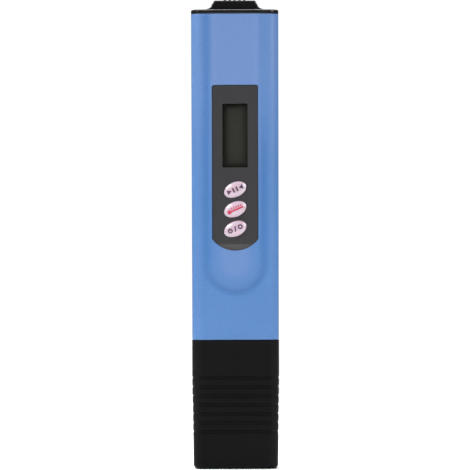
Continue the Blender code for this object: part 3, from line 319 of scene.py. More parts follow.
def flared_hole(outline_of, surface_y, depth, flare):
    """A cutter from in front of a face, whose mouth is rounded. outline_of takes a margin."""
    rings = [facing(outline_of(flare), surface_y - WALL)]
    for c, s in quarter(4):
        rings.append(facing(outline_of(flare * (1 - s)), surface_y + flare * (1 - c)))
    rings.append(facing(outline_of(0.0), surface_y + depth))
    return loft(rings)


def across(outline, reach):
    """An outline in y and z, drawn out to both sides."""
    return loft([[Vector((x, u, v)) for u, v in outline] for x in (-reach, reach)])


def box(x, y, z):
    bm = bmesh.new()
    bmesh.ops.create_cube(bm, size=1)
    size = Vector((x[1] - x[0], y[1] - y[0], z[1] - z[0]))
    middle = Vector((x[0] + x[1], y[0] + y[1], z[0] + z[1])) / 2
    bmesh.ops.scale(bm, vec=size, verts=bm.verts)
    bmesh.ops.translate(bm, vec=middle, verts=bm.verts)
    return object_from(bm)


def turned(profile, x, steps=48, closed=False):
    """A solid turned about an upright axis through x, from (radius, height) points."""
    bm = bmesh.new()
    line = [bm.verts.new((radius, 0, height)) for radius, height in profile]
    pairs = list(zip(line, line[1:])) + ([(line[-1], line[0])] if closed else [])
    edges = [bm.edges.new(pair) for pair in pairs]
    bmesh.ops.spin(
        bm, geom=line + edges, cent=(0, 0, 0), axis=(0, 0, 1), angle=2 * math.pi, steps=steps
    )
    made = object_from(bm)
    made.data.transform(Matrix.Translation((x, AXIS_Y, 0)))
    return made


def combine(body, tool, operation):
    modifier = body.modifiers.new("combine", "BOOLEAN")
    modifier.operation = operation
    modifier.object = tool
    bpy.context.view_layer.update()
    graph = bpy.context.evaluated_depsgraph_get()
    mesh = bpy.data.meshes.new_from_object(body.evaluated_get(graph))
    body.modifiers.clear()
    body.data = mesh
    bpy.data.objects.remove(tool)
    return body


def joined(body, *tools):
    for tool in tools:
        combine(body, tool, "UNION")
    return body


def cut(body, *tools):
    for tool in tools:
        combine(body, tool, "DIFFERENCE")
    return body


def merged(*pieces):
    """Several apart solids as one object."""
    bm = bmesh.new()
    for piece in pieces:
        bm.from_mesh(piece.data)
        bpy.data.objects.remove(piece)
    return object_from(bm)


def dress(piece, name, finish, body, slot, *nodes, sharp=35):
    """Names a piece, gives it its material and its body, and hides what it stands for."""
    piece.name = name
    piece.data.name = name
    piece.data.materials.clear()
    piece.data.materials.append(finish)
    piece.data.shade_smooth()
    piece.data.set_sharp_from_angle(angle=math.radians(sharp))
    flat = piece.modifiers.new("even shading", "WEIGHTED_NORMAL")
    flat.keep_sharp = True
    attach(piece, body)
    if nodes:
        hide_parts(*nodes)
    return piece


# ---- materials
def feed(tree, node, inputs):
    """Gives a node its inputs. Each is a value or another node's output."""
    for socket, value in inputs.items():
        if isinstance(value, bpy.types.NodeSocket):
            tree.links.new(value, node.inputs[socket])
        else:
            node.inputs[socket].default_value = value


def add(tree, kind, inputs=None, **settings):
    made = tree.nodes.new(kind)
    for name, value in settings.items():
        setattr(made, name, value)
    feed(tree, made, inputs or {})
    return made


def blank(name):
    made = bpy.data.materials.new(name)
    made.use_nodes = True
    tree = made.node_tree
    shader = tree.nodes["Principled BSDF"]
    where = add(tree, "ShaderNodeTexCoord").outputs["Object"]
    return made, tree, shader, where


def noise(tree, where, size, detail):
    inputs = {"Vector": where, "Scale": 1 / size, "Detail": detail}
    return add(tree, "ShaderNodeTexNoise", inputs).outputs["Fac"]


def ramp(tree, value, first, last, low=0.0, high=1.0, easing="LINEAR"):
    """A ramp from low to high while a value goes from first to last."""
    inputs = {"Value": value, "From Min": first, "From Max": last, "To Min": low, "To Max": high}
    return add(tree, "ShaderNodeMapRange", inputs, interpolation_type=easing).outputs["Result"]


def soft_ramp(tree, value, first, last, low=0.0, high=1.0):
    return ramp(tree, value, first, last, low, high, "SMOOTHSTEP")


def mixed(tree, share, first, second):
    inputs = {0: share, MIX_A: first, MIX_B: second}
    return add(tree, "ShaderNodeMix", inputs, data_type="RGBA").outputs[MIX_COLOUR]


def bumped(tree, height, strength, distance):
    inputs = {"Height": height, "Strength": strength, "Distance": distance}
    return add(tree, "ShaderNodeBump", inputs).outputs["Normal"]


def calculated(tree, operation, *values):
    return add(tree, "ShaderNodeMath", dict(enumerate(values)), operation=operation).outputs[0]


def moulded(name, light, deep, roughness, grain=0.25, relief=0.006, drift=18, change=0.05):
    """Polymer moulded in a textured tool: slow colour drift, fine grain in the gloss.

    Colours are linear or hex. Grain, relief and drift are in millimetres.
    """
    made, tree, shader, where = blank(name)
    light, deep = (linear(tone) if isinstance(tone, str) else tone for tone in (light, deep))
    drifting = ramp(tree, noise(tree, where, drift * MM, 3.0), 0.3, 0.7)
    fine = noise(tree, where, grain * MM, 4.0)
    looks = {
        "Base Color": mixed(tree, drifting, light, deep),
        "Roughness": ramp(tree, fine, 0.3, 0.7, roughness - change, roughness + change),
        "Normal": bumped(tree, fine, 0.5, relief * MM),
    }
    feed(tree, shader, looks)
    return made


def by_distance(tree, distance, levels):
    """A grey level that follows (millimetres, level) pairs along a distance."""
    furthest = levels[-1][0] * MM
    grey = add(tree, "ShaderNodeValToRGB", {"Fac": ramp(tree, distance, 0.0, furthest)})
    stops = grey.color_ramp.elements
    while len(stops) < len(levels):
        stops.new(0.5)
    for stop, (place, level) in zip(stops, levels):
        stop.position = place * MM / furthest
        stop.color = (level, level, level, 1)
    return grey.outputs["Color"]


def tinted(tree, share, tone):
    """Mixes a tone over the base colour of a finish."""
    base = tree.nodes["Principled BSDF"].inputs["Base Color"]
    tree.links.new(mixed(tree, share, base.links[0].from_socket, tone), base)


def tongue_painted_light_and_shade(finish):
    """Paints light and shade on the front of the housing by the distance from the tongue's middle line.
    """
    tree = finish.node_tree
    where = add(tree, "ShaderNodeTexCoord").outputs["Object"]
    parts = add(tree, "ShaderNodeSeparateXYZ", {0: where}).outputs
    x, z = parts["X"], parts["Z"]
    below = calculated(tree, "MINIMUM", calculated(tree, "SUBTRACT", z, TONGUE_ARC_Z), 0.0)
    offset = add(tree, "ShaderNodeCombineXYZ", {"X": x, "Z": below}).outputs[0]
    reach = add(tree, "ShaderNodeVectorMath", {0: offset}, operation="LENGTH").outputs["Value"]
    # Painted sheen and highlights: over the whole upper tongue and its shoulders, lower down in its
    # middle only.
    upper = by_distance(
        tree, reach, ((0, 0.85), (5.6, 0.85), (7.0, 1.0), (8.4, 0.5), (9.5, 0.0), (12, 0.0))
    )
    lower = by_distance(
        tree, reach, ((0, 0.6), (3.6, 0.6), (5.4, 0.25), (7.0, 0.1), (8.4, 0.0), (12, 0.0))
    )
    height = soft_ramp(tree, z, PANEL_BOTTOM_Z, PANEL_TOP_Z)
    share = add(tree, "ShaderNodeMix", {0: height, 2: lower, 3: upper}).outputs[0]
    # Painted light: the whole front paler towards its top.
    head = soft_ramp(tree, z, 88 * MM, 136 * MM, 0.0, 0.5)
    tinted(tree, calculated(tree, "MAXIMUM", share, head), colours().tongue)
    # Painted shade: a darker line along the foot of the slope, strongest round the half circle, weaker
    # on the right towards the top.
    line = by_distance(
        tree, reach, ((7.4, 0.0), (8.5, 0.55), (9.4, 1.0), (10.2, 0.6), (11.2, 0.0), (12, 0.0))
    )
    rise = soft_ramp(tree, z, TONGUE_ARC_Z - 7 * MM, TONGUE_ARC_Z, 1.0, 0.5)
    right = soft_ramp(tree, x, -MM, MM)
    fade = calculated(tree, "MULTIPLY", right, soft_ramp(tree, z, 95 * MM, 125 * MM, 0.0, 0.9))
    fade = calculated(tree, "SUBTRACT", 1.0, fade)
    line = calculated(tree, "MULTIPLY", line, rise)
    tinted(tree, calculated(tree, "MULTIPLY", line, fade), colours().painted_foot_shade)
    return finish


def brushed(name, light, deep, roughness, grain, along, lines=0.08):
    """Drawn or stamped metal: fine lines along one axis break up its reflection."""
    made, tree, shader, where = blank(name)
    stretch = [0.04 if axis == along else 1.0 for axis in range(3)]
    laid = add(tree, "ShaderNodeVectorMath", {0: where, 1: stretch}, operation="MULTIPLY")
    fine = noise(tree, laid.outputs[0], grain * MM, 5.0)
    looks = {
        "Base Color": mixed(tree, fine, linear(light), linear(deep)),
        "Metallic": 1.0,
        "Roughness": ramp(tree, fine, 0.3, 0.7, roughness - lines, roughness + lines),
        "Normal": bumped(tree, fine, 0.3, grain * MM / 20),
    }
    feed(tree, shader, looks)
    return made


def clear(name, tint, roughness, ior, see_through):
    """Polished clear plastic or glass, with faint smears in its gloss."""
    made, tree, shader, where = blank(name)
    smear = noise(tree, where, 3 * MM, 3.0)
    looks = {
        "Base Color": linear(tint),
        "Roughness": ramp(tree, smear, 0.0, 1.0, roughness * 0.6, roughness * 1.6),
        "IOR": ior,
        "Transmission Weight": 1.0 if see_through else 0.0,
        "Alpha": 1.0 if see_through else 0.18,
    }
    feed(tree, shader, looks)
    return made


def display_glass_painted_shade():
    """Unlit LCD: smoked polarising film, lighter in the middle, with painted shade along its borders
    where the window's walls shade it.
    """
    made, tree, shader, where = blank("lcd_polariser_film_painted_shade")
    parts = add(tree, "ShaderNodeSeparateXYZ", {0: where}).outputs
    left = soft_ramp(tree, parts["X"], -1.2 * MM, -WINDOW_HALF_WIDTH)
    right = soft_ramp(tree, parts["X"], 1.6 * MM, WINDOW_HALF_WIDTH, 0.0, 0.55)
    up = calculated(tree, "ABSOLUTE", calculated(tree, "SUBTRACT", parts["Z"], WINDOW_Z))
    end = soft_ramp(tree, up, WINDOW_HALF_HEIGHT - 2.4 * MM, WINDOW_HALF_HEIGHT)
    # Painted shade: darker towards the left border and both ends, less so towards the right border.
    border = calculated(tree, "MAXIMUM", calculated(tree, "MAXIMUM", left, right), end)
    cloud = calculated(tree, "MULTIPLY_ADD", noise(tree, where, 5 * MM, 2.0), 0.25, -0.125)
    total = add(tree, "ShaderNodeMath", {0: border, 1: cloud}, operation="ADD", use_clamp=True)
    tone = mixed(tree, total.outputs[0], colours().lcd, linear("20211A"))
    feed(tree, shader, {"Base Color": tone, "Roughness": 0.16})
    return made


def circuit_laminate():
    """Glass-epoxy board under green solder mask, with tracks that show as paler lines."""
    made, tree, shader, where = blank("solder_masked_laminate")
    upright_way = {"Vector": where, "Rotation": (math.pi / 2, 0, 0)}
    pattern = {
        "Vector": add(tree, "ShaderNodeMapping", upright_way).outputs[0],
        "Color1": linear("0F6B2C"),
        "Color2": linear("12772F"),
        "Mortar": linear("2E9A4E"),
        "Scale": 1.0,
        "Mortar Size": 0.12 * MM,
        "Brick Width": 3.1 * MM,
        "Row Height": 0.9 * MM,
    }
    grid = add(tree, "ShaderNodeTexBrick", pattern).outputs
    raised = bumped(tree, grid["Fac"], 0.6, 0.03 * MM)
    feed(tree, shader, {"Base Color": grid["Color"], "Normal": raised, "Roughness": 0.3})
    return made


def porous(name, light, deep, cell, relief):
    """Open-celled foam or pressed felt: pits of one size, matt all over."""
    made, tree, shader, where = blank(name)
    cells = add(tree, "ShaderNodeTexVoronoi", {"Vector": where, "Scale": 1 / (cell * MM)})
    pits = cells.outputs["Distance"]
    tone = mixed(tree, pits, linear(deep), linear(light))
    raised = bumped(tree, pits, 1.0, relief * MM)
    feed(tree, shader, {"Base Color": tone, "Normal": raised, "Roughness": 0.92})
    return made


# ---- housing
def tongue_rise(x, z):
    """Height of the raised tongue over the flat front, with a soft slope at its edge."""
    reach = abs(x) if z >= TONGUE_ARC_Z else math.hypot(x, z - TONGUE_ARC_Z)
    slope = sizes().tongue_slope
    share = min(max((TONGUE_FOOT - reach) / slope, 0.0), 1.0)
    return (FRONT_Y - TONGUE_Y) * share * share * (3 - 2 * share)


def face_columns(half, fine):
    """x positions across a face between its rounded corners."""
    edge = half - EDGE_RADIUS
    count = 84 if fine else 6
    return [-edge + 2 * edge * k / count for k in range(1, count)]


def outer_points(side, z, inset, fine, low_end=0.0):
    """One half of the housing's outside, as (x, distance from the parting line)."""
    share = (BODY_TOP_Z - z) / (BODY_TOP_Z - BODY_BOTTOM_Z)
    half = BODY_HALF - BODY_DRAFT * max(share, 0.0) - inset
    depth = HALF_DEPTH - inset
    radius = EDGE_RADIUS - inset
    start = SEAM / 2 if low_end == 0.0 else low_end
    edge = sizes().parting_edge
    steps = 8
    points = []
    for c, s in quarter(3):
        points.append((-half + edge * (1 - s), start + edge * (1 - c)))
    for k in range(steps + 1):
        turn = math.pi - math.pi / 2 * k / steps
        points.append(
            (-half + radius + radius * math.cos(turn), depth - radius + radius * math.sin(turn))
        )
    for x in face_columns(half + inset, fine):
        lift = tongue_rise(x, z) if side < 0 else 0.0
        points.append((x, depth + lift))
    mirrored = [(-x, d) for x, d in reversed(points[: steps + 5])]
    return points + mirrored


def shell_ring(side, z, inset, fine):
    outer = outer_points(side, z, inset, fine)
    half = INNER_HALF + inset
    depth = HALF_DEPTH - WALL + inset
    radius = EDGE_RADIUS - WALL
    inner = [(half, SEAM / 2)]
    for first, sign in ((0.0, 1), (math.pi / 2, -1)):
        centre = sign * (half - radius)
        inner += [(centre + radius * c, depth - radius + radius * s) for c, s in quarter(3, first)]
    inner.append((-half, SEAM / 2))
    return [Vector((x, AXIS_Y + side * d, z)) for x, d in outer + inner]


def shell_heights(side):
    rim = sizes().rim_edge
    levels = rounded_levels(BODY_BOTTOM_Z, BODY_TOP_Z, rim, rim, 3)
    if side > 0:
        return levels
    arc_low = TONGUE_ARC_Z - TONGUE_FOOT - 0.5 * MM
    count = 48
    dense = [(arc_low + (TONGUE_ARC_Z - arc_low) * k / count, 0.0) for k in range(count + 1)]
    return levels[:4] + dense + levels[4:]


def housing_half(side):
    """One half of the housing: its wall, its floor, and its half of the neck."""
    rings = [shell_ring(side, z, inset, side < 0) for z, inset in shell_heights(side)]
    shell = loft(rings)
    away = 3 * BODY_HALF
    other = sorted((AXIS_Y + side * SEAM / 2, AXIS_Y - side * away))

    neck_outline = shrinking(NECK_HALF_WIDTH, NECK_HALF_DEPTH, NECK_RADIUS)
    neck = pillow_up(neck_outline, NECK_BOTTOM_Z, BODY_BOTTOM_Z + WALL / 2, 0.25 * MM, 0.0)
    floor = prism_up(
        rounded_rectangle(INNER_HALF + WALL / 2, HALF_DEPTH - WALL / 2, EDGE_RADIUS - WALL / 2),
        BODY_BOTTOM_Z + 0.25 * MM,
        BODY_BOTTOM_Z + WALL,
    )
    root = joined(neck, floor)
    cut(root, box((-away, away), other, (0, 2 * BODY_TOP_Z)))
    joined(shell, root)
    throat = rounded_rectangle(
        NECK_HALF_WIDTH - NECK_WALL, NECK_HALF_DEPTH - NECK_WALL, NECK_RADIUS / 2
    )
    room = 6.0 * MM
    bay = box((-8.4 * MM, 8.4 * MM), (CELL_Y - room, CELL_Y + room), (CELL_BAY_Z, BODY_TOP_Z + WALL))
    cut(shell, prism_up(throat, 0, BODY_BOTTOM_Z + 2 * WALL), bay, seal_groove())
    return shell


def seal_groove():
    low, high, depth = 36.2 * MM, 37.6 * MM, 0.55 * MM
    outer = rounded_rectangle(NECK_HALF_WIDTH + WALL, NECK_HALF_DEPTH + WALL, EDGE_RADIUS)
    core = rounded_rectangle(NECK_HALF_WIDTH - depth, NECK_HALF_DEPTH - depth, NECK_RADIUS - depth)
    return cut(prism_up(outer, low, high), prism_up(core, low - WALL, high + WALL))


def screw_columns(radius, steps, front, back):
    """Round columns through the places of the four board screws."""
    places = [(x, z) for z in SCREW_Z for x in (-SCREW_X, SCREW_X)]
    outline = ellipse(radius, radius, steps)
    return merged(*(prism_back(shifted(outline, x, z), front, back) for x, z in places))


class PEN_OT_housing(Operator):
    """Build both halves of the blue housing."""

    bl_idname = "pen.housing"
    bl_label = "Housing"

    def execute(self, context):
        # ABS, injection moulded in a finely spark-eroded tool: an even satin sheen.
        # The real grain is under 0.1 mm. It is drawn at 0.25 mm so that it shows.
        def blue(name):
            return moulded(name, colours().body, colours().body_deep, 0.3)

        front = housing_half(-1)
        floor_y = PANEL_BACK_Y + SNUG
        pocket = flared_hole(
            lambda margin: panel_outline(PANEL_GAP + margin),
            TONGUE_Y,
            floor_y - TONGUE_Y,
            0.06 * MM,
        )
        back = FRONT_Y + 3 * WALL
        middle_key = KEYS[1][1]
        display = shifted(rounded_rectangle(6.0 * MM, 12.6 * MM, 0.5 * MM), 0, WINDOW_Z)
        keypad = shifted(rounded_rectangle(5.3 * MM, 10.2 * MM, 2.0 * MM), 0, middle_key)
        openings = [prism_back(room, floor_y - SEAM, back) for room in (display, keypad)]
        cut(front, pocket, merged(*openings))
        joined(front, screw_columns(1.75 * MM, 28, FRONT_Y + WALL / 2, BOARD_FRONT_Y - SNUG))
        cut(front, screw_columns(0.86 * MM, 20, FRONT_Y + WALL, BOARD_FRONT_Y + WALL))
        # The tint paints sheen, highlights and shade on the front shell.
        skin = tongue_painted_light_and_shade(blue("blue_abs_front_painted_light"))
        dress(front, "front_shell_moulded", skin, "meter_body", "blue_abs", "front_shell")

        rear = housing_half(1)
        radius = 2.1 * MM
        hole = flared_hole(
            lambda margin: shifted(ellipse(radius + margin, radius + margin), 0, TRIMMER_Z),
            0,
            3 * WALL,
            0.25 * MM,
        )
        hole.data.transform(Matrix.Scale(-1, 4, (0, 1, 0)))
        hole.data.transform(Matrix.Translation((0, REAR_Y, 0)))
        hole.data.flip_normals()
        middle = (LABEL_LOW.z + LABEL_HIGH.z) / 2
        half_z = (LABEL_HIGH.z - LABEL_LOW.z) / 2 + SEAM
        recess = rounded_rectangle(LABEL_HIGH.x + SEAM, half_z, 1.0 * MM)
        cut(rear, hole, prism_back(shifted(recess, 0, middle), LABEL_LOW.y - SNUG, REAR_Y + WALL))
        rails = merged(*(parting_rail(side) for side in (-1, 1)))
        joined(rear, rails)
        skin = blue("blue_abs_rear")
        dress(rear, "rear_shell_moulded", skin, "meter_body", "blue_abs", "rear_shell")
        return {"FINISHED"}


def parting_rail(side):
    """A rail on the rear shell that aligns the front one and backs the parting line."""
    thickness = 0.55 * MM
    edge = INNER_HALF - SEAM
    lip = sorted((side * edge, side * (edge - thickness)))
    root = sorted((side * (edge - SEAM), side * (INNER_HALF + SEAM)))
    span = (BODY_BOTTOM_Z + WALL + 2 * SEAM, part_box("battery_cap")[0].z - 2 * SEAM)
    rail = box(lip, (AXIS_Y - WALL, AXIS_Y + 2 * WALL), span)
    return joined(rail, box(root, (AXIS_Y + SEAM, AXIS_Y + 2 * WALL), span))


class PEN_OT_label(Operator):
    """Build the plain foil label on the back."""

    bl_idname = "pen.label"
    bl_label = "Rear label"

    def execute(self, context):
        # Matt silver polyester foil, die cut: a cool grey with a faint cross grain.
        foil = moulded("silver_polyester_foil", "C9CBCC", "C0C2C4", 0.42, 0.4, 0.004)
        middle = (LABEL_LOW.z + LABEL_HIGH.z) / 2
        half_z = (LABEL_HIGH.z - LABEL_LOW.z) / 2
        half_x = LABEL_HIGH.x

        def outline(inset):
            return shifted(rounded_rectangle(half_x - inset, half_z - inset, 0.9 * MM), 0, middle)

        label = pillow_back(outline, LABEL_LOW.y, LABEL_HIGH.y, 0.0, 0.03 * MM)
        dress(label, "rear_label_foil", foil, "meter_body", "label_foil", "rear_label")

        # Screen-printed grey ink: a border and blank write-on lines.
        ink = moulded("grey_screen_ink", "4C4F52", "454849", 0.5, 0.3, 0.002)
        top = LABEL_HIGH.y - 0.01 * MM
        proud = LABEL_HIGH.y + 0.012 * MM
        border = prism_back(outline(0.9 * MM), top, proud)
        cut(border, prism_back(outline(1.15 * MM), top - MM, proud + MM))
        lines = [
            prism_back(
                shifted(rounded_rectangle(half_x - 2.4 * MM, 0.09 * MM, 0.04 * MM, 2), 0, z),
                top,
                proud,
            )
            for z in [LABEL_LOW.z + step * 4.6 * MM for step in range(2, 9)]
        ]
        print_ = merged(border, *lines)
        dress(print_, "rear_label_print", ink, "meter_body", "label_foil")
        return {"FINISHED"}


# ---- face panel and display
def matt_skin(finish, level):
    """Holds back the gloss of a moulded finish, as a fine blasted tool does."""
    shader = finish.node_tree.nodes["Principled BSDF"]
    shader.inputs["Specular IOR Level"].default_value = level
    return finish


def panel_painted_foot_highlight(finish, pale):
    """Paints a highlight on the bevelled foot of the panel."""
    tree = finish.node_tree
    where = add(tree, "ShaderNodeTexCoord").outputs["Object"]
    height = add(tree, "ShaderNodeSeparateXYZ", {0: where}).outputs["Z"]
    soft = 0.25 * MM
    tinted(tree, soft_ramp(tree, height, BEVEL_TOP_Z + soft, BEVEL_TOP_Z - soft), pale)
    return finish


class PEN_OT_panel(Operator):
    """Build the dark face panel with its window and key holes."""

    bl_idname = "pen.panel"
    bl_label = "Face panel"

    def execute(self, context):
        # Charcoal ABS with a matt moulded grain: almost no gloss, faint flow marks.
        charcoal = moulded("charcoal_abs_matt_painted_highlight", colours().panel, "303032", 0.5, 0.3, 0.008, 9)
        matt_skin(charcoal, 0.25)
        # Painted highlight along the panel's bevelled foot.
        panel_painted_foot_highlight(charcoal, linear("464344"))
        panel = pillow_back(
            lambda inset: panel_outline(-inset),
            PANEL_Y,
            PANEL_BACK_Y,
            sizes().panel_edge,
            0.05 * MM,
        )
        depth = PANEL_BACK_Y - PANEL_Y + WALL
        window = flared_hole(
            lambda margin: shifted(
                rounded_rectangle(
                    WINDOW_HALF_WIDTH + margin, WINDOW_HALF_HEIGHT + margin, 0.3 * MM + margin
                ),
                0,
                WINDOW_Z,
            ),
            PANEL_Y,
            depth,
            sizes().window_edge,
        )
        holes = [
            flared_hole(
                lambda margin, z=z: shifted(
                    tilted(ellipse(KEY_LONG + KEY_GAP + margin, KEY_SHORT + KEY_GAP + margin)),
                    0,
                    z,
                ),
                PANEL_Y,
                depth,
                0.14 * MM,
            )
            for _, z in KEYS
        ]
        low_z = PANEL_BOTTOM_Z - WALL
        fall = BEVEL_DEPTH / (BEVEL_TOP_Z - PANEL_BOTTOM_Z)
        wedge = [
            (PANEL_Y - WALL, BEVEL_TOP_Z),
            (PANEL_Y, BEVEL_TOP_Z),
            (PANEL_Y + fall * (BEVEL_TOP_Z - low_z), low_z),
            (PANEL_Y - WALL, low_z),
        ]
        cut(panel, merged(window, across(wedge, PANEL_HALF + WALL), *holes))
        dress(panel, "face_panel_moulded", charcoal, "meter_body", "charcoal_abs", "face_panel")
        return {"FINISHED"}


class PEN_OT_display(Operator):
    """Build the clear lens and finish the LCD behind it."""

    bl_idname = "pen.display"
    bl_label = "Display"

    def execute(self, context):
        # Diamond-polished acrylic: clear, with a thin gloss that lifts the black a little.
        acrylic = clear("polished_acrylic", "20221C", 0.06, 1.49, False)
        low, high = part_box("lcd_lens")
        half_x, half_z = high.x, (high.z - low.z) / 2
        lens = pillow_back(
            lambda inset: shifted(
                rounded_rectangle(half_x - inset, half_z - inset, 0.4 * MM), 0, WINDOW_Z
            ),
            low.y,
            high.y,
            0.08 * MM,
            0.08 * MM,
        )
        dress(lens, "lcd_lens_polished", acrylic, "meter_body", "clear_acrylic", "lcd_lens")
        # The display glass carries painted shade along its borders.
        clad(display_glass_painted_shade(), "lcd_glass")
        # Glass-filled white ABS reflector frame: chalky, slightly warm.
        clad(moulded("white_abs_frame", "E4E2DC", "DAD8D0", 0.5, 0.3), "lcd_frame")
        return {"FINISHED"}


def clad(finish, *nodes):
    """Gives nodes of the frame their finish."""
    for node in nodes:
        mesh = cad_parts[node].data
        mesh.materials.clear()
        mesh.materials.append(finish)


# ---- keys
def key_ring(z, share, y):
    return facing(shifted(tilted(ellipse(KEY_LONG * share, KEY_SHORT * share)), 0, z), y)


def dome_rings(z, lift=0.0, steps=18):
    """Rings of a key's dome, from its crown to its rim."""
    crown = sizes().key_crown + lift
    shares = [0.04 + 0.96 * math.sin(math.pi / 2 * k / steps) for k in range(steps + 1)]
    return [key_ring(z, share, PANEL_Y - crown * (1 - share**KEY_DOME)) for share in shares]


def key_solid(z):
    """A key's dome, the flange behind the panel and the stem to its carbon pill."""
    flange, stem = 1.09, 0.62
    flange_front = PANEL_BACK_Y + SEAM
    flange_back = flange_front + 0.6 * MM
    pill_front = BOARD_FRONT_Y - 0.7 * MM - SNUG - 0.4 * MM
    steps = (
        (1.0, flange_front),
        (flange, flange_front),
        (flange, flange_back),
        (stem, flange_back),
        (stem, pill_front - SNUG),
    )
    return loft(dome_rings(z) + [key_ring(z, share, y) for share, y in steps])


def bar(u0, u1, v0, v1):
    return [(u0, v0), (u1, v0), (u1, v1), (u0, v1)]


def disc(u, v, radius, steps=24):
    return shifted(ellipse(radius, radius, steps), u, v)


def arc_band(u, v, radius, width, gap=0.0, steps=32):
    """A ring as two half rings, open at the top by the gap's angle."""
    inner, outer = radius - width / 2, radius + width / 2
    first = math.pi / 2 + gap / 2
    sweep = 2 * math.pi - gap
    halves = []
    for part in (0, 1):
        turns = [first + sweep * (part + k / steps) / 2 for k in range(steps + 1)]
        path = [(u + outer * math.cos(t), v + outer * math.sin(t)) for t in turns]
        path += [(u + inner * math.cos(t), v + inner * math.sin(t)) for t in reversed(turns)]
        halves.append(path)
    return halves


def hold_sign():
    """Two pause bars between arrow heads that point at them."""
    shapes = [bar(-0.88, -0.34, -0.82, 0.82), bar(0.34, 0.88, -0.82, 0.82)]
    return shapes + [[(side * 2.75, -0.82), (side * 1.3, 0.0), (side * 2.75, 0.82)] for side in (-1, 1)]


def temp_sign():
    """A thermometer on its side, with a scale of five lines."""
    shapes = [disc(-2.1, -0.2, 0.7), bar(-2.0, 2.55, -0.5, 0.04), disc(2.55, -0.23, 0.27, 12)]
    return shapes + [bar(u, u + 0.38, 0.24, 0.88) for u in (-1.2, -0.4, 0.4, 1.2, 2.0)]


def power_sign():
    """The rest and run marks of a power switch, with a stroke between them."""
    shapes = arc_band(-1.8, 0.0, 0.62, 0.42, gap=0.9) + [bar(-2.0, -1.6, 0.0, 0.92)]
    shapes += [[(-0.5, -0.88), (-0.06, -0.88), (0.5, 0.88), (0.06, 0.88)]]
    return shapes + arc_band(1.8, 0.0, 0.62, 0.42)


def sign_piece(shapes, z):
    """Signs as a thin skin of ink that follows the key's dome."""
    solids = []
    for shape in shapes:
        outline = shifted(tilted([(u * MM, v * MM) for u, v in shape]), 0, z)
        solids.append(prism_back(outline, PANEL_Y - 2 * MM, PANEL_Y - 0.05 * MM))
    stamp = solids[0]
    for other in solids[1:]:
        joined(stamp, other)
    skin = loft(dome_rings(z, sizes().mark_height, 26))
    return combine(stamp, skin, "INTERSECT")


class PEN_OT_keys(Operator):
    """Build the three slanted oval keys and their printed signs."""

    bl_idname = "pen.keys"
    bl_label = "Keys"

    def execute(self, context):
        # Compression-moulded silicone with a sprayed gloss coat: milky, with a sharp shine.
        silicone = moulded(
            "pink_silicone_gloss", colours().keys, "C2A7B8", 0.2, 0.5, 0.002, 4, change=0.03
        )
        gloss = {
            "Subsurface Weight": 0.25,
            "Subsurface Scale": 0.6 * MM,
            "IOR": 1.43,
            "Coat Weight": 1.0,
            "Coat Roughness": 0.05,
            "Coat IOR": 1.6,
        }
        feed(silicone.node_tree, silicone.node_tree.nodes["Principled BSDF"], gloss)
        # Pad-printed silicone ink: flat and slightly duller than the key under it.
        inks = {
            "dark": ink_finish("plum_pad_ink", colours().dark_mark),
            "red": ink_finish("red_pad_ink", colours().red_mark),
        }
        signs = {"hold": hold_sign, "temp": temp_sign, "power": power_sign}
        for name, z in KEYS:
            key, body, node = key_solid(z), name + "_key", name + "_button"
            dress(key, node + "_moulded", silicone, body, "pink_silicone", node)
            ink = inks["red" if name == "temp" else "dark"]
            dress(sign_piece(signs[name](), z), node + "_sign", ink, body, "pink_silicone")
        clad(silicone, "keypad_mat")
        return {"FINISHED"}


def ink_finish(name, tint):
    return moulded(name, tint, tint, 0.4, 0.2, 0.003, 2)


# ---- caps
def satin_black(name, roughness=0.5, level=0.08):
    # Black ABS from a lightly blasted tool: deep black with a soft grey sheen on its edges.
    return matt_skin(moulded(name, colours().cap, "0E0E0F", roughness, 0.28, 0.012), level)


def flange_ring(z, inset):
    front = outer_points(-1, BODY_TOP_Z, inset, True, SNUG / 10)
    rear = outer_points(1, BODY_TOP_Z, inset, False, SNUG / 10)
    edge = 4
    ring = [Vector((x, AXIS_Y - d, z)) for x, d in front[edge:-edge]]
    ring += [Vector((x, AXIS_Y + d, z)) for x, d in reversed(rear[edge:-edge])]
    return ring


def hump_outline(inset, top, crown_z):
    """Grip hump in x and z: hollow flares at its foot, straight flanks, a flat crown."""
    foot, knee_x, knee_z = 11.0 * MM, 7.7 * MM, top + 1.3 * MM
    crest = 6.88 * MM
    soft = 0.3 * MM
    right = [(foot - inset, top - 0.5 * MM)]
    for c, s in quarter(8):
        right.append((foot - (foot - knee_x) * s - inset, top + (knee_z - top) * (1 - c)))
    for c, s in quarter(4):
        right.append((crest - soft + soft * c - inset, crown_z - inset - soft + soft * s))
    return right + [(-x, z) for x, z in reversed(right)]


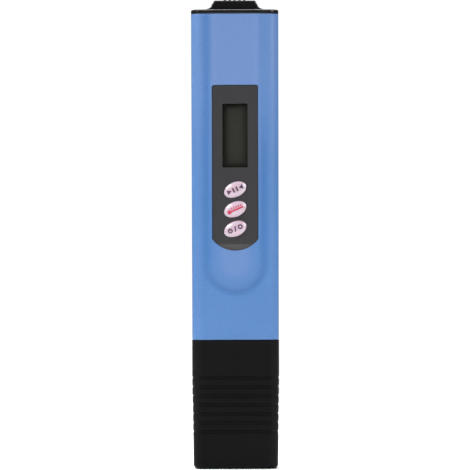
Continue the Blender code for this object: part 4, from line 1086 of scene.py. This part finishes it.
class PEN_OT_battery_cap(Operator):
    """Build the black battery cap with its grip hump and hollow spigot."""

    bl_idname = "pen.battery_cap"
    bl_label = "Battery cap"

    def execute(self, context):
        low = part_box("battery_cap")[0]
        base = BODY_TOP_Z + SEAM
        top = base + FLANGE_THICKNESS
        edge, reach = sizes().flange_edge, 1.25 * MM
        levels = rounded_levels(base, top - edge, 0.12 * MM, 0.02 * MM, 2)
        for c, s in quarter(8)[1:]:
            levels.append((top - edge + edge * s, reach * (1 - c)))
        cap = loft([flange_ring(z, inset) for z, inset in levels])
        crown = top + HUMP_HEIGHT
        half = 4.6 * MM
        edge = 0.45 * MM
        hump = loft(
            [
                facing(hump_outline(inset, top, crown), y)
                for y, inset in rounded_levels(AXIS_Y - half, AXIS_Y + half, edge, edge)
            ]
        )
        joined(cap, hump)
        length = half - 0.8 * MM
        rise = sizes().ridge_height
        for number in range(5):
            x = (number - 2) * 1.6 * MM
            outline = [
                (
                    x - 0.5 * MM * math.cos(math.pi * k / 10),
                    crown - 0.1 * MM + (rise + 0.1 * MM) * math.sin(math.pi * k / 10) ** 0.6,
                )
                for k in range(11)
            ]
            joined(cap, prism_back(outline, AXIS_Y - length, AXIS_Y + length))
        outer_x = INNER_HALF - 0.5 * MM
        outer_y = HALF_DEPTH - WALL - SEAM

        corner = EDGE_RADIUS - WALL - 0.5 * MM
        spigot_outline = shrinking(outer_x, outer_y, corner)
        joined(cap, pillow_up(spigot_outline, low.z, base + 0.3 * MM, 0.3 * MM, 0.0))
        bore = rounded_rectangle(outer_x - 1.2 * MM, outer_y - 1.2 * MM, 0.8 * MM)
        cut(cap, prism_up(bore, low.z - WALL, base))
        groove_low, groove_high = low.z + 1.6 * MM, low.z + 2.8 * MM
        groove = prism_up(
            rounded_rectangle(BODY_HALF, HALF_DEPTH, EDGE_RADIUS), groove_low, groove_high
        )
        core = rounded_rectangle(outer_x - 0.5 * MM, outer_y - 0.5 * MM, corner - 0.5 * MM)
        cut(groove, prism_up(core, groove_low - WALL, groove_high + WALL))
        cut(cap, groove)
        finish = satin_black("black_abs_gloss", 0.22, 0.5)
        dress(cap, "battery_cap_moulded", finish, "battery_cover", "black_abs", "battery_cap")
        # Moulded nitrile rubber: dull black with a dusty bloom.
        rubber = moulded("black_nitrile_rubber", "1C1C1D", "262627", 0.68, 0.3, 0.01, 3)
        clad(rubber, "battery_cap_seal", "neck_seal", "electrode_bung")
        return {"FINISHED"}


def cap_profile():
    """(height, inset) pairs up the outside of the probe cap.

    Each groove is shallow where it runs round the corners and the narrow sides.
    """
    foot = 1.5 * MM
    pairs = [(foot * (1 - c), foot * (1 - s)) for c, s in quarter(8)]
    for number in reversed(range(GROOVE_COUNT)):
        middle = GROOVE_TOP_Z - number * GROOVE_PITCH
        half = GROOVE_WIDTH / 2 - 0.03 * MM
        section = ((0.0, 0.0), (0.05 * MM, 0.11 * MM), (0.1 * MM, 0.13 * MM))
        pairs += [(middle - half + up, inset) for up, inset in section]
        pairs += [(middle + half - up, inset) for up, inset in reversed(section)]
    rim = 0.22 * MM
    pairs += [(CAP_RIM_Z - rim + rim * s, rim * (1 - c)) for c, s in quarter(4)]
    return pairs


def cap_taper(z):
    return CAP_TAPER * max(0.0, (GROOVE_TOP_Z - z) / GROOVE_TOP_Z)


def grip_groove(number, side):
    """A cutter for one straight groove across a broad face. It runs out at the corners."""
    middle = GROOVE_TOP_Z - number * GROOVE_PITCH
    half = GROOVE_WIDTH / 2
    surface = CAP_HIGH.y - AXIS_Y - cap_taper(middle)
    depth = sizes().groove_depth
    soft = 0.12 * MM
    half_section = [
        (surface - depth, 0.0),
        (surface - depth, half - soft),
        (surface - depth * 0.85, half - 0.4 * soft),
        (surface - depth * 0.3, half),
        (surface - depth * 0.08, half + 0.3 * soft),
        (surface + 0.02 * MM, half + soft),
        (surface + WALL, half + soft),
    ]
    section = [(AXIS_Y + side * d, middle + v) for d, v in half_section]
    section += [(AXIS_Y + side * d, middle - v) for d, v in reversed(half_section[1:])]
    return across(section, CAP_HIGH.x + WALL)


class PEN_OT_probe_cap(Operator):
    """Build the ribbed probe cap and the sponge in it."""

    bl_idname = "pen.probe_cap"
    bl_label = "Probe cap"

    def execute(self, context):
        half_x, half_y = CAP_HIGH.x, CAP_HIGH.y - AXIS_Y

        def ring(z, inset):
            inset += cap_taper(z)
            radius = EDGE_RADIUS - min(inset, 1.2 * MM)
            return upright(rounded_rectangle(half_x - inset, half_y - inset, radius, 10), z)

        cap = loft([ring(z, inset) for z, inset in cap_profile()])
        grooves = [grip_groove(number, side) for number in range(GROOVE_COUNT) for side in (-1, 1)]
        cut(cap, merged(*grooves))
        wall = 1.5 * MM
        bore = rounded_rectangle(half_x - wall, half_y - wall, EDGE_RADIUS - 0.7 * MM)
        foot = rounded_rectangle(
            half_x - wall - CAP_TAPER, half_y - wall - CAP_TAPER, EDGE_RADIUS - 0.7 * MM
        )
        mouth = rounded_rectangle(
            half_x - wall + 0.2 * MM, half_y - wall + 0.2 * MM, EDGE_RADIUS - 0.5 * MM
        )
        hollow = loft(
            [
                upright(foot, 1.6 * MM),
                upright(bore, GROOVE_TOP_Z),
                upright(bore, CAP_RIM_Z - 0.3 * MM),
                upright(mouth, CAP_RIM_Z),
                upright(mouth, CAP_RIM_Z + wall),
            ]
        )
        cut(cap, hollow)
        finish = satin_black("black_abs_satin")
        dress(cap, "probe_cap_moulded", finish, "protective_cap", "black_abs", "probe_cap")
        # Cellulose sponge, damp: open pits about 0.6 mm across.
        clad(porous("cellulose_sponge", "E8C554", "A87E22", 0.6, 0.3), "soaking_sponge")
        return {"FINISHED"}


# ---- sensor
class PEN_OT_sensor(Operator):
    """Build the sensor nose, the glass electrode and the temperature sheath."""

    bl_idname = "pen.sensor"
    bl_label = "Sensor"

    def execute(self, context):
        # Charcoal ABS from a matt tool: dark, with a dull sheen.
        charcoal = moulded("charcoal_abs_nose", "2E2E30", "29292B", 0.42, 0.3, 0.01)
        nose, node = nose_solid(), "sensor_nose"
        dress(nose, node + "_moulded", charcoal, "meter_body", "charcoal_abs", node)
        # Drawn borosilicate tube with a blown bulb: clear, bright edges.
        glass = clear("borosilicate_blown", "F4FBF8", 0.02, 1.47, True)
        low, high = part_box("glass_electrode")
        bulb_r = (high.x - low.x) / 2
        x = (high.x + low.x) / 2
        bulb_z = low.z + bulb_r
        stem = 3.1 * MM

        def line(radius, stem_r, steps=28):
            neck = math.asin(stem_r / radius)
            return [
                (
                    radius * math.sin((math.pi - neck) * k / steps),
                    bulb_z - radius * math.cos((math.pi - neck) * k / steps),
                )
                for k in range(steps + 1)
            ] + [(stem_r, high.z)]

        outer = line(bulb_r, stem)
        inner = line(bulb_r - 0.5 * MM, stem - 1.0 * MM)
        tube = turned(outer + inner[::-1], x)
        node = "glass_electrode"
        dress(tube, node + "_blown", glass, "meter_body", "electrode_glass", node)
        # Drawn stainless tube, ends closed by swaging: fine lines along its length.
        steel = brushed("stainless_drawn", "C9CACB", "A9ABAD", 0.24, 0.2, along=2)
        low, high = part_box("temperature_sheath")
        radius = (high.x - low.x) / 2
        tip_z = low.z + radius
        tip = [
            (radius * math.sin(math.pi / 16 * k), tip_z - radius * math.cos(math.pi / 16 * k))
            for k in range(9)
        ]
        bore = radius - 0.3 * MM
        sheath = turned(
            tip + [(radius, high.z), (bore, high.z), (bore, tip_z), (0, tip_z)],
            (low.x + high.x) / 2,
            32,
        )
        node = "temperature_sheath"
        dress(sheath, node + "_drawn", steel, "meter_body", "steel", node)
        # Pressed fluoropolymer felt: chalky and porous.
        clad(porous("ptfe_felt", "DCD8C8", "B5AF9C", 0.35, 0.08), "reference_junction")
        # Chlorided silver wire: dull and brownish.
        silver = brushed("silver_chloride_wire", "9C9690", "7C756E", 0.4, 0.15, along=2)
        clad(silver, "electrode_wire")
        return {"FINISHED"}


def nose_solid():
    plug = rounded_rectangle(
        NECK_HALF_WIDTH - NECK_WALL - SEAM, NECK_HALF_DEPTH - NECK_WALL - SEAM, NECK_RADIUS / 2
    )
    low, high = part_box("sensor_nose")
    collar_low = NECK_BOTTOM_Z - 1.6 * MM
    guard_x, guard_y, wall = 10.0 * MM, 5.0 * MM, 1.0 * MM

    collar = shrinking(NECK_HALF_WIDTH - SEAM, NECK_HALF_DEPTH - SEAM, NECK_RADIUS)
    guard = shrinking(guard_x, guard_y, guard_y - 0.6 * MM, 14)
    nose = prism_up(plug, NECK_BOTTOM_Z - WALL, high.z)
    joined(
        nose,
        pillow_up(collar, collar_low, NECK_BOTTOM_Z - SEAM, 0.3 * MM, 0.05 * MM),
        pillow_up(guard, low.z, collar_low + SEAM, 0.35 * MM, 0.0),
    )
    chamber_top = 24.0 * MM
    chamber = rounded_rectangle(guard_x - wall, guard_y - wall, guard_y - wall - 0.5 * MM, 14)
    cut(nose, prism_up(chamber, 0, chamber_top))
    slots = []
    for x in (-5.6 * MM, 0.0, 5.6 * MM):
        slot = shifted(rounded_rectangle(1.1 * MM, 4.4 * MM, 1.05 * MM), x, 17.0 * MM)
        slots.append(prism_back(slot, AXIS_Y - 2 * guard_y, AXIS_Y + 2 * guard_y))
    cut(nose, merged(*slots))
    bulb_x, sheath_x = (
        (low.x + high.x) / 2 for low, high in map(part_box, ("glass_electrode", "temperature_sheath"))
    )
    for x, radius, start, stop in (
        (bulb_x, 3.25 * MM, chamber_top - MM, CAP_RIM_Z),
        (bulb_x, 4.7 * MM, chamber_top - MM, chamber_top + 1.8 * MM),
        (sheath_x, 1.45 * MM, chamber_top - MM, CAP_RIM_Z),
    ):
        cut(nose, prism_up(shifted(ellipse(radius, radius), x, 0), start, stop))
    return nose


# ---- inside the housing
class PEN_OT_inside(Operator):
    """Finish the board, cells, contacts, leads and other pieces inside."""

    bl_idname = "pen.inside"
    bl_label = "Inside pieces"

    def execute(self, context):
        clad(circuit_laminate(), "main_board")
        # Zinc-plated steel screws and springs, nickel-plated cell cans.
        zinc = brushed("zinc_plated_steel", "BFC2C4", "9DA1A4", 0.34, 0.3, along=1)
        clad(zinc, *(f"board_screw_{number}" for number in (1, 2, 3, 4)))
        clad(zinc, "positive_contact", "negative_contact", "clock_crystal")
        nickel = brushed("nickel_plated_can", "D2D0CB", "B4B1AB", 0.22, 0.25, along=2)
        clad(nickel, "battery_cell_left", "battery_cell_right")
        # Turned brass adjuster: warm, with the lathe's fine lines.
        clad(brushed("turned_brass", "D9B25A", "B98E3B", 0.3, 0.2, along=1), "trimmer_rotor")
        # Transfer-moulded epoxy: matt near-black with a faint sparkle of filler.
        epoxy = moulded("transfer_moulded_epoxy", "1A1A1C", "202022", 0.55, grain=0.15)
        clad(epoxy, "controller_chip", "amplifier_chip", "thermistor_bead")
        # Sintered ceramic with tinned ends: tan and chalky.
        ceramic = moulded("sintered_ceramic", "B08F5E", "A08052", 0.5, 0.2, 0.004)
        clad(ceramic, "supply_capacitor", "filter_capacitor")
        # Glass-filled nylon and black ABS: satin, straight from the tool.
        clad(moulded("trimmer_nylon_moulded", "2350B4", "1D479F", 0.42), "trimmer_body")
        clad(moulded("cradle_abs_moulded", "1B1B1B", "222222", 0.46), "battery_holder")
        # Carbon-loaded silicone: soot black and dull.
        carbon = moulded("carbon_silicone", "101011", "19191A", 0.75)
        clad(carbon, "zebra_strip_left", "zebra_strip_right")
        clad(carbon, *(name + "_contact_pill" for name, _ in KEYS))
        # Extruded PVC insulation: an even satin skin.
        for lead, colour_name, light, deep in (
            ("electrode_lead", "white", "E6E6E4", "D8D8D6"),
            ("reference_lead", "blue", "2A4FB0", "2345A0"),
            ("temperature_lead", "red", "B5232A", "A01D24"),
        ):
            clad(moulded(colour_name + "_pvc_insulation", light, deep, 0.4), lead)
        return {"FINISHED"}


# ---- stage
VIEW_DISTANCE = 1.4
VIEW_HEIGHT = 155.57 * MM
VIEW_CENTRE_Z = 77.15 * MM
VIEW_OFFSET = -0.1 * MM
VIEW_ROLL = math.radians(0.17)
SENSOR = 36.0
FLOOR_RADIUS = 0.62


def soft_light(name, place, target, size, power, up=None):
    """A rectangular softbox. Its long axis follows up, where that is given."""
    data = bpy.data.lights.new(name, "AREA")
    data.shape = "RECTANGLE"
    data.size, data.size_y = size
    data.energy = power
    lamp = bpy.data.objects.new(name, data)
    bpy.context.scene.collection.objects.link(lamp)
    lamp.location = place
    aim = Vector(target) - Vector(place)
    if up is None:
        lamp.rotation_euler = aim.to_track_quat("-Z", "Y").to_euler()
        return lamp
    back = -aim.normalized()
    upward = (Vector(up) - back * back.dot(Vector(up))).normalized()
    side = upward.cross(back)
    lamp.rotation_euler = Matrix((side, upward, back)).transposed().to_euler()
    return lamp


class PEN_OT_stage(Operator):
    """Lay the floor and set the lights and the camera."""

    bl_idname = "pen.stage"
    bl_label = "Stage"

    def execute(self, context):
        scene = context.scene
        scene.view_settings.view_transform = "Standard"
        # Matt painted board: plain and pale, with the least mottle.
        paint = moulded("matt_white_board", colours().floor, "F5F5F5", 0.9, 2, 0.01, 400)
        floor = prism_up(ellipse(FLOOR_RADIUS, FLOOR_RADIUS, 96), -2 * MM, 0.0)
        floor.name = "studio_floor"
        floor.data.materials.append(paint)

        middle = (0, 0, VIEW_CENTRE_Z)
        soft_light("left_softbox", (-0.95, -0.62, 0.5), middle, (0.45, 0.6), 1.4)
        soft_light("right_softbox", (0.95, -0.62, 0.6), middle, (0.6, 0.8), 8.0)
        soft_light("floor_softbox", (0.05, 0.35, 0.75), (0.05, 0.35, 0), (0.6, 0.6), 5.0)
        keys = Vector((0, PANEL_Y, KEYS[1][1]))
        place = keys + Vector((-0.675, -0.242, 0.697)) * 0.9
        soft_light("key_softbox", place, keys, (0.4, 0.9), 8.2, up=(0, -1, 0))

        world = scene.world or bpy.data.worlds.new("studio")
        scene.world = world
        world.use_nodes = True
        tree = world.node_tree
        tree.nodes.clear()
        seen = add(tree, "ShaderNodeLightPath").outputs["Is Camera Ray"]
        way = add(tree, "ShaderNodeTexCoord").outputs["Generated"]
        up = add(tree, "ShaderNodeSeparateXYZ", {0: way}).outputs["Z"]
        dome = soft_ramp(tree, up, 0.05, 0.8, 0.1, 0.7)
        glow = add(tree, "ShaderNodeMix", {0: seen, 2: dome, 3: 1.05}).outputs[0]
        sky = add(tree, "ShaderNodeBackground", {"Color": linear("FFFFFF"), "Strength": glow})
        add(tree, "ShaderNodeOutputWorld", {"Surface": sky.outputs[0]})

        data = bpy.data.cameras.new("pen_view")
        data.sensor_width = SENSOR
        data.lens = SENSOR * VIEW_DISTANCE / VIEW_HEIGHT
        data.clip_end = 20
        camera = bpy.data.objects.new("pen_view", data)
        scene.collection.objects.link(camera)
        camera.location = (VIEW_OFFSET, AXIS_Y - VIEW_DISTANCE, VIEW_CENTRE_Z)
        camera.rotation_euler = (math.radians(90), VIEW_ROLL, 0)
        scene.camera = camera
        return {"FINISHED"}


class PEN_PT_pieces(Panel):
    """Lists the pieces, their sizes and their colours."""

    bl_idname = "PEN_PT_pieces"
    bl_label = "Test pen"
    bl_space_type = "VIEW_3D"
    bl_region_type = "UI"
    bl_category = "Test pen"

    def draw(self, context):
        layout = self.layout
        for operator in OPERATORS:
            layout.operator(operator.bl_idname)
        for group in (context.scene.pen_sizes, context.scene.pen_colours):
            column = layout.column()
            for name in group.bl_rna.properties.keys():
                if name not in ("rna_type", "name"):
                    column.prop(group, name)


OPERATORS = (
    PEN_OT_housing,
    PEN_OT_label,
    PEN_OT_panel,
    PEN_OT_display,
    PEN_OT_keys,
    PEN_OT_battery_cap,
    PEN_OT_probe_cap,
    PEN_OT_sensor,
    PEN_OT_inside,
    PEN_OT_stage,
)
CLASSES = (PenSizes, PenColours, *OPERATORS, PEN_PT_pieces)


def register():
    for cls in CLASSES:
        bpy.utils.register_class(cls)
    bpy.types.Scene.pen_sizes = PointerProperty(type=PenSizes)
    bpy.types.Scene.pen_colours = PointerProperty(type=PenColours)


def unregister():
    del bpy.types.Scene.pen_colours
    del bpy.types.Scene.pen_sizes
    for cls in reversed(CLASSES):
        bpy.utils.unregister_class(cls)


def main():
    register()
    for operator in OPERATORS:
        group, name = operator.bl_idname.split(".")
        getattr(getattr(bpy.ops, group), name)()


if __name__ == "__main__":
    main()
